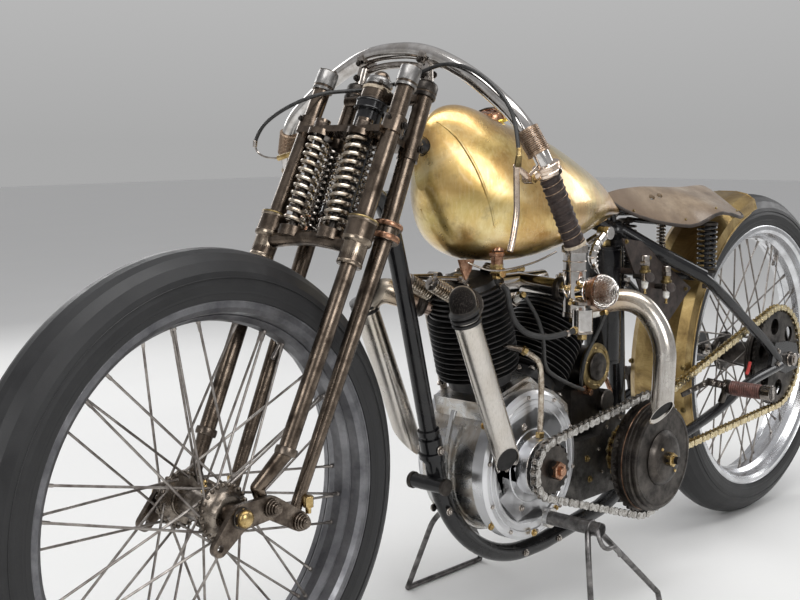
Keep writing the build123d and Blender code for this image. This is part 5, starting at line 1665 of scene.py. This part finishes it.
fitted(
    "gearbox_screws", "frame", "dark_steel",
    bolts("old_chrome", gearbox_rows, cheese_screw),
    bead("gearbox", beside(MAINSHAFT, -66), LEFT, 64, 1.6, 60),
    lathe("gearbox", [(0, 24), (2, 26), (8, 26), (12, 22), (14, 8)], beside(MAINSHAFT, -66), RIGHT, 36),
    bolts("old_brass", [(-70, 62, 222, LEFT, 5.0), (-60, 62, 262, LEFT, 5.0), (-96, -66, 222, RIGHT, 5.0)]),
)
clutch_face = [
    lathe("dark_steel", [(151, 97.4), (152, 98.6), (153.4, 98.6), (154.4, 97)], MAINSHAFT, LEFT, 90),
    lathe("dark_steel", [(161, 93.2), (162.4, 92.4), (163.2, 88), (162.2, 86.6)], MAINSHAFT, LEFT, 90),
    bead("dark_steel", beside(MAINSHAFT, 162.2), LEFT, 86, 0.7, 90, 6),
    lathe(
        "dark_steel",
        [
            (162, 50), (163.4, 50.6), (165, 49.4), (169, 46.6), (173.4, 41.4), (175.6, 34), (176.4, 22),
            (176.6, 13),
        ],
        MAINSHAFT, LEFT, 64,
    ),
    lathe("brass", [(176, 12), (177, 13.4), (185, 13.4), (186.4, 11.8)], MAINSHAFT, LEFT, 6),
    bar("old_brass", beside(MAINSHAFT, 185), beside(MAINSHAFT, 193), 7.4, 6.6),
    bolts(
        "brass",
        [(-155 + 24, 175, 262 + 22, LEFT, 3.2), (-155 - 20, 175, 262 - 25, LEFT, 3.2)],
        cheese_screw,
    ),
    bead("rust_steel", beside(MAINSHAFT, 138), LEFT, 98.4, 1.2, 90, 6),
    bead("dark_steel", beside(MAINSHAFT, 146), LEFT, 98.4, 1.0, 90, 6),
]
fitted("clutch_cover_rings", "frame", "dark_steel", *clutch_face)
sprocket_nut = [
    lathe("copper", [(134, 14.6), (135, 16), (143, 16), (144.6, 14)], CRANK, LEFT, 6),
    lathe("copper", [(144, 8), (149, 8), (150, 6.6)], CRANK, LEFT, 20),
    lathe("dark_steel", [(122, 24), (123, 25), (125, 25), (126, 24)], CRANK, LEFT, 32),
]
fitted("engine_sprocket_nut", "frame", "copper", *sprocket_nut)

# Chains
CHAIN_PITCH = 15.875


def link_plate(half_pitch, radius, waist, low, thick):
    """One figure-of-eight side plate lying flat, its length along X."""
    clear_selection()
    bpy.ops.mesh.primitive_circle_add(
        vertices=12, radius=radius * MM, fill_type="NGON", rotation=(0, 0, math.radians(15)),
        location=(0, 0, low * MM),
    )
    plate = bpy.context.object
    settle()
    bpy.ops.object.mode_set(mode="EDIT")
    for side in (1, -1):
        choose(plate, lambda co: co.x * side > 0)
        bpy.ops.transform.translate(value=(side * half_pitch * MM, 0, 0))
    mesh = bmesh.from_edit_mesh(plate.data)
    bpy.ops.mesh.select_mode(type="EDGE")
    bpy.ops.mesh.select_all(action="DESELECT")
    for edge in mesh.edges:
        edge.select_set(edge.verts[0].co.x * edge.verts[1].co.x < 0)
    bmesh.update_edit_mesh(plate.data)
    bpy.ops.mesh.subdivide(number_cuts=1)
    choose(plate, lambda co: abs(co.x) < 0.0005)
    bpy.ops.transform.resize(value=(1, waist, 1), center_override=(0, 0, low * MM))
    bpy.ops.mesh.select_all(action="SELECT")
    drawn_out(0, 0, thick * MM)
    close_mesh()
    return plate


def chain_link(outer, width, plates, rollers):
    """Two side plates with their pins, or with their rollers."""
    half = CHAIN_PITCH / 2
    end = width / 2
    reach = end - (1.6 if outer else 3.4)
    parts = [
        painted(link_plate(half, 7.2, 0.66, side, 1.5), plates) for side in (reach - 0.75, -reach - 0.75)
    ]
    for x in (half, -half):
        if outer:
            pin = turned([(-end, 2.0), (0.6 - end, 2.5), (end - 0.6, 2.5), (end, 2.0)], 10)
        else:
            pin = turned([(-reach, 4.6), (reach, 4.6)], 12)
        pin.location = (x * MM, 0, 0)
        pick(pin)
        settle()
        parts.append(painted(pin, plates if outer else rollers))
    return joined(parts)


def chain_run(name, node, first, first_radius, second, second_radius, y, width, slot, plates, rollers):
    """Links laid end to end round two sprockets, standing for the plain loop."""
    run = second - first
    distance = Vector((run.x, run.z)).length / MM
    heading = math.atan2(run.z, run.x)
    spread = math.acos((first_radius - second_radius) / distance)
    straight = distance * math.sin(spread)
    far_arc = second_radius * 2 * spread
    near_arc = first_radius * (2 * math.pi - 2 * spread)
    total = 2 * straight + far_arc + near_arc

    def rim(centre, radius, turn):
        return Vector((centre.x, y * MM, centre.z)) + mm(
            radius * math.cos(turn), 0, radius * math.sin(turn)
        )

    def spot(travel):
        travel %= total
        if travel < straight:
            return part_way(
                rim(first, first_radius, heading + spread), rim(second, second_radius, heading + spread),
                travel / straight,
            )
        travel -= straight
        if travel < far_arc:
            return rim(second, second_radius, heading + spread - travel / second_radius)
        travel -= far_arc
        if travel < straight:
            return part_way(
                rim(second, second_radius, heading - spread), rim(first, first_radius, heading - spread),
                travel / straight,
            )
        return rim(first, first_radius, heading - spread - (travel - straight) / first_radius)

    count = 2 * round(total / CHAIN_PITCH / 2)
    masters = [chain_link(True, width, plates, rollers), chain_link(False, width, plates, rollers)]
    links = []
    for k in range(count):
        start = spot(total * k / count)
        end = spot(total * (k + 1) / count)
        tangent = (end - start).normalized()
        link = twin_of(masters[k % 2])
        turn = Matrix((tangent, LEFT.cross(tangent), LEFT)).transposed().to_4x4()
        link.matrix_world = Matrix.Translation((start + end) / 2) @ turn
        links.append(link)
    for master in masters:
        bpy.data.objects.remove(master)
    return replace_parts(fitted(name, "frame", slot, *links), node)


def pitch_radius(teeth):
    return CHAIN_PITCH / 2 / math.sin(math.pi / teeth)


chain_run(
    "primary_chain_links", "primary_chain", CRANK, pitch_radius(19), MAINSHAFT, pitch_radius(44), 127, 14.6,
    "chain_steel", "chain", "old_chrome",
)
chain_run(
    "final_chain_links", "final_chain", MAINSHAFT, pitch_radius(17), REAR_AXLE, 110, 80, 16, "chain_gold",
    "chain_gold", "old_brass",
)

# Frame fittings, pegs and stand
frame_rows = [
    (293, 19, 338, LEFT, 6.5), (293, -19, 338, RIGHT, 6.5), (268, 16, 230, LEFT, 5.5),
    (268, -16, 230, RIGHT, 5.5), (60, 16, 106, LEFT, 5.0), (-40, 16, 108, LEFT, 5.0),
    (-248, 20, 240, LEFT, 5.0), (-248, 20, 560, LEFT, 4.2),
]
fitted("frame_bolts", "frame", "dark_steel", bolts("old_chrome", frame_rows))
lugs = []
for place, direction, radius in (
    (mm(398, 0, 752), mm(6, 0, 20), 15.2), (mm(300, 0, 368), mm(15, 0, 65), 16.6),
    (mm(293, 0, 330), mm(10, 0, 37), 19.6), (mm(-262, 0, 236), UP, 17), (mm(-247, 0, 560), UP, 17),
    (mm(-241, 0, 640), UP, 17),
):
    lugs.append(lathe(
        "black",
        [(-5, radius - 0.4), (-4, radius + 1.6), (4, radius + 1.6), (5, radius - 0.4)],
        place, direction, 36,
    ))
fitted("frame_lug_bands", "frame", "black_paint", *lugs)
peg_ends = []
for side in (LEFT, RIGHT):
    peg_ends.append(lathe(
        "dark_steel", [(32, 12.2), (33, 14), (38, 14), (39, 12)], mm(299, 0, 281), side, 24
    ))
fitted("peg_tube_rings", "frame", "dark_steel", *peg_ends)
axle_parts = []
REAR_OUT = 113
axle_parts.append(lathe(
    "old_chrome", [(0, 15.5), (1, 16.6), (2.6, 16.6), (3, 15.4)], beside(REAR_AXLE, REAR_OUT), LEFT, 28
))
axle_parts.append(lathe(
    "old_chrome", [(3, 12.8), (4, 14.2), (12, 14.2), (13, 12.6)], beside(REAR_AXLE, REAR_OUT), LEFT, 6
))
axle_parts.append(bar("old_chrome", mm(-812, 108, 356), mm(-772, 108, 356), 3.4, 3.4, 10))
axle_parts.append(lathe("old_chrome", [(0, 6), (1, 7), (6, 7), (7, 6)], mm(-801, 108, 356), -FORWARD, 6))
axle_parts.append(bolts("old_chrome", [(-700, 113, 380, LEFT, 5.0), (-700, 113, 352, LEFT, 5.0)]))
fitted("rear_axle_adjusters", "frame", "hub_steel", both_sides(*axle_parts))
peg = mm(-478, 118, 336)
peg_parts = [
    spring("oxblood", peg + mm(0, 4, 0), peg + mm(0, 74, 0), 15.2, 2.6, 14),
    lathe("old_chrome", [(74, 14), (75, 15.6), (94, 15.8), (96, 13)], peg, LEFT, 28),
    bolts(
        "old_chrome",
        [(-416, 116, 355, LEFT, 4.2), (-440, 116, 348, LEFT, 4.2), (-462, 116, 343, LEFT, 3.4)],
    ),
    painted(cut_plate([(-300, 352), (-306, 343), (-402, 352), (-402, 364)], 111, 115, 0.8), "dark_steel"),
    bolts(
        "old_chrome",
        [(-330, 115, 352, LEFT, 3.4), (-356, 115, 354, LEFT, 3.4), (-382, 115, 357, LEFT, 3.4)],
        cheese_screw,
    ),
]
fitted("foot_peg_wraps", "frame", "dark_steel", both_sides(*peg_parts))
fitted(
    "red_cable_sleeve", "frame", "cable_rubber",
    strand("red", route((-552, 118, 352), (-560, 119, 362), (-566, 118, 376)), 3.4),
)
HOOK = route(
    (98, 192, 196), (104, 200, 184), (98, 204, 168), (82, 204, 160), (62, 203, 160), (48, 202, 150),
    (40, 200, 138),
)
fitted(
    "stand_hook", "frame", "stand_steel", strand("stand", HOOK, 4.0),
    lathe("stand", [(0, 12.6), (1, 14), (5, 14), (6, 12.6)], mm(90, 172, 193), LEFT, 24),
    lathe("stand", [(0, 12.2), (1, 13.2), (6, 13.2), (7, 12)], mm(90, 196, 193), RIGHT, 6),
)

# Floor, light and camera
FLOOR_SIZE = 40
clear_selection()
bpy.ops.mesh.primitive_plane_add(size=FLOOR_SIZE, location=(0, 0, 0))
floor = painted(bpy.context.object, "floor")
floor.name = "floor"

world = bpy.data.worlds.new("studio")
bpy.context.scene.world = world
world.use_nodes = True
sky = world.node_tree.nodes
join_sky = world.node_tree.links
sky_place = sky.new("ShaderNodeTexCoord")
sky_height = sky.new("ShaderNodeSeparateXYZ")
sky_shade = sky.new("ShaderNodeValToRGB")
join_sky.new(sky_place.outputs["Generated"], sky_height.inputs[0])
join_sky.new(sky_height.outputs["Z"], sky_shade.inputs["Fac"])
SKY = [
    (0.0, (0.40, 0.40, 0.40)), (0.12, (0.48, 0.48, 0.48)), (0.45, (0.33, 0.33, 0.34)),
    (1.0, (0.58, 0.58, 0.59)),
]
while len(sky_shade.color_ramp.elements) < len(SKY):
    sky_shade.color_ramp.elements.new(0.5)
for element, (position, shade) in zip(sky_shade.color_ramp.elements, SKY):
    element.position = position
    element.color = (*shade, 1)
join_sky.new(sky_shade.outputs["Color"], sky["Background"].inputs["Color"])
sky["Background"].inputs["Strength"].default_value = 1.0


def soft_lamp(name, place, target, width, height, power):
    lamp = bpy.data.lights.new(name, "AREA")
    lamp.shape = "RECTANGLE"
    lamp.size = width
    lamp.size_y = height
    lamp.energy = power
    holder = link_in(name, lamp)
    holder.location = place
    holder.rotation_mode = "QUATERNION"
    holder.rotation_quaternion = (Vector(target) - Vector(place)).to_track_quat("-Z", "Y")


soft_lamp("overhead", (0.3, 0.6, 3.4), (0, 0, 0.5), 3.2, 1.4, 62)
soft_lamp("left_key", (1.2, 3.2, 2.0), (0, 0, 0.5), 1.6, 1.6, 42)
soft_lamp("front_fill", (3.6, 0.4, 1.7), (0.5, 0, 0.5), 1.2, 1.6, 26)
soft_lamp("right_fill", (-0.6, -3.2, 1.9), (0, 0, 0.5), 1.8, 1.4, 30)
soft_lamp("rear_fill", (-3.4, 0.8, 1.8), (-0.5, 0, 0.5), 1.4, 1.4, 22)

CAMERA_PLACE = Vector((1.7633, 1.3074, 0.8405))
CAMERA_YAW = -2.3898
CAMERA_PITCH = -0.1301
CAMERA_ROLL = -0.0089
CAMERA_LENS = 55.6
SENSOR_WIDTH = 36
NEAREST_SEEN = 0.05
gaze = Vector((
    math.cos(CAMERA_PITCH) * math.cos(CAMERA_YAW),
    math.cos(CAMERA_PITCH) * math.sin(CAMERA_YAW),
    math.sin(CAMERA_PITCH),
))
level = gaze.cross(UP).normalized()
upright = level.cross(gaze)
across = level * math.cos(CAMERA_ROLL) + upright * math.sin(CAMERA_ROLL)
camera_up = upright * math.cos(CAMERA_ROLL) - level * math.sin(CAMERA_ROLL)
camera_data = bpy.data.cameras.new("camera")
camera_data.lens = CAMERA_LENS
camera_data.sensor_width = SENSOR_WIDTH
camera_data.clip_start = NEAREST_SEEN
camera = link_in("camera", camera_data)
camera.matrix_world = Matrix.Translation(CAMERA_PLACE) @ Matrix((
    across, camera_up, -gaze
)).transposed().to_4x4()
bpy.context.scene.camera = camera
bpy.context.scene.view_settings.view_transform = "Standard"
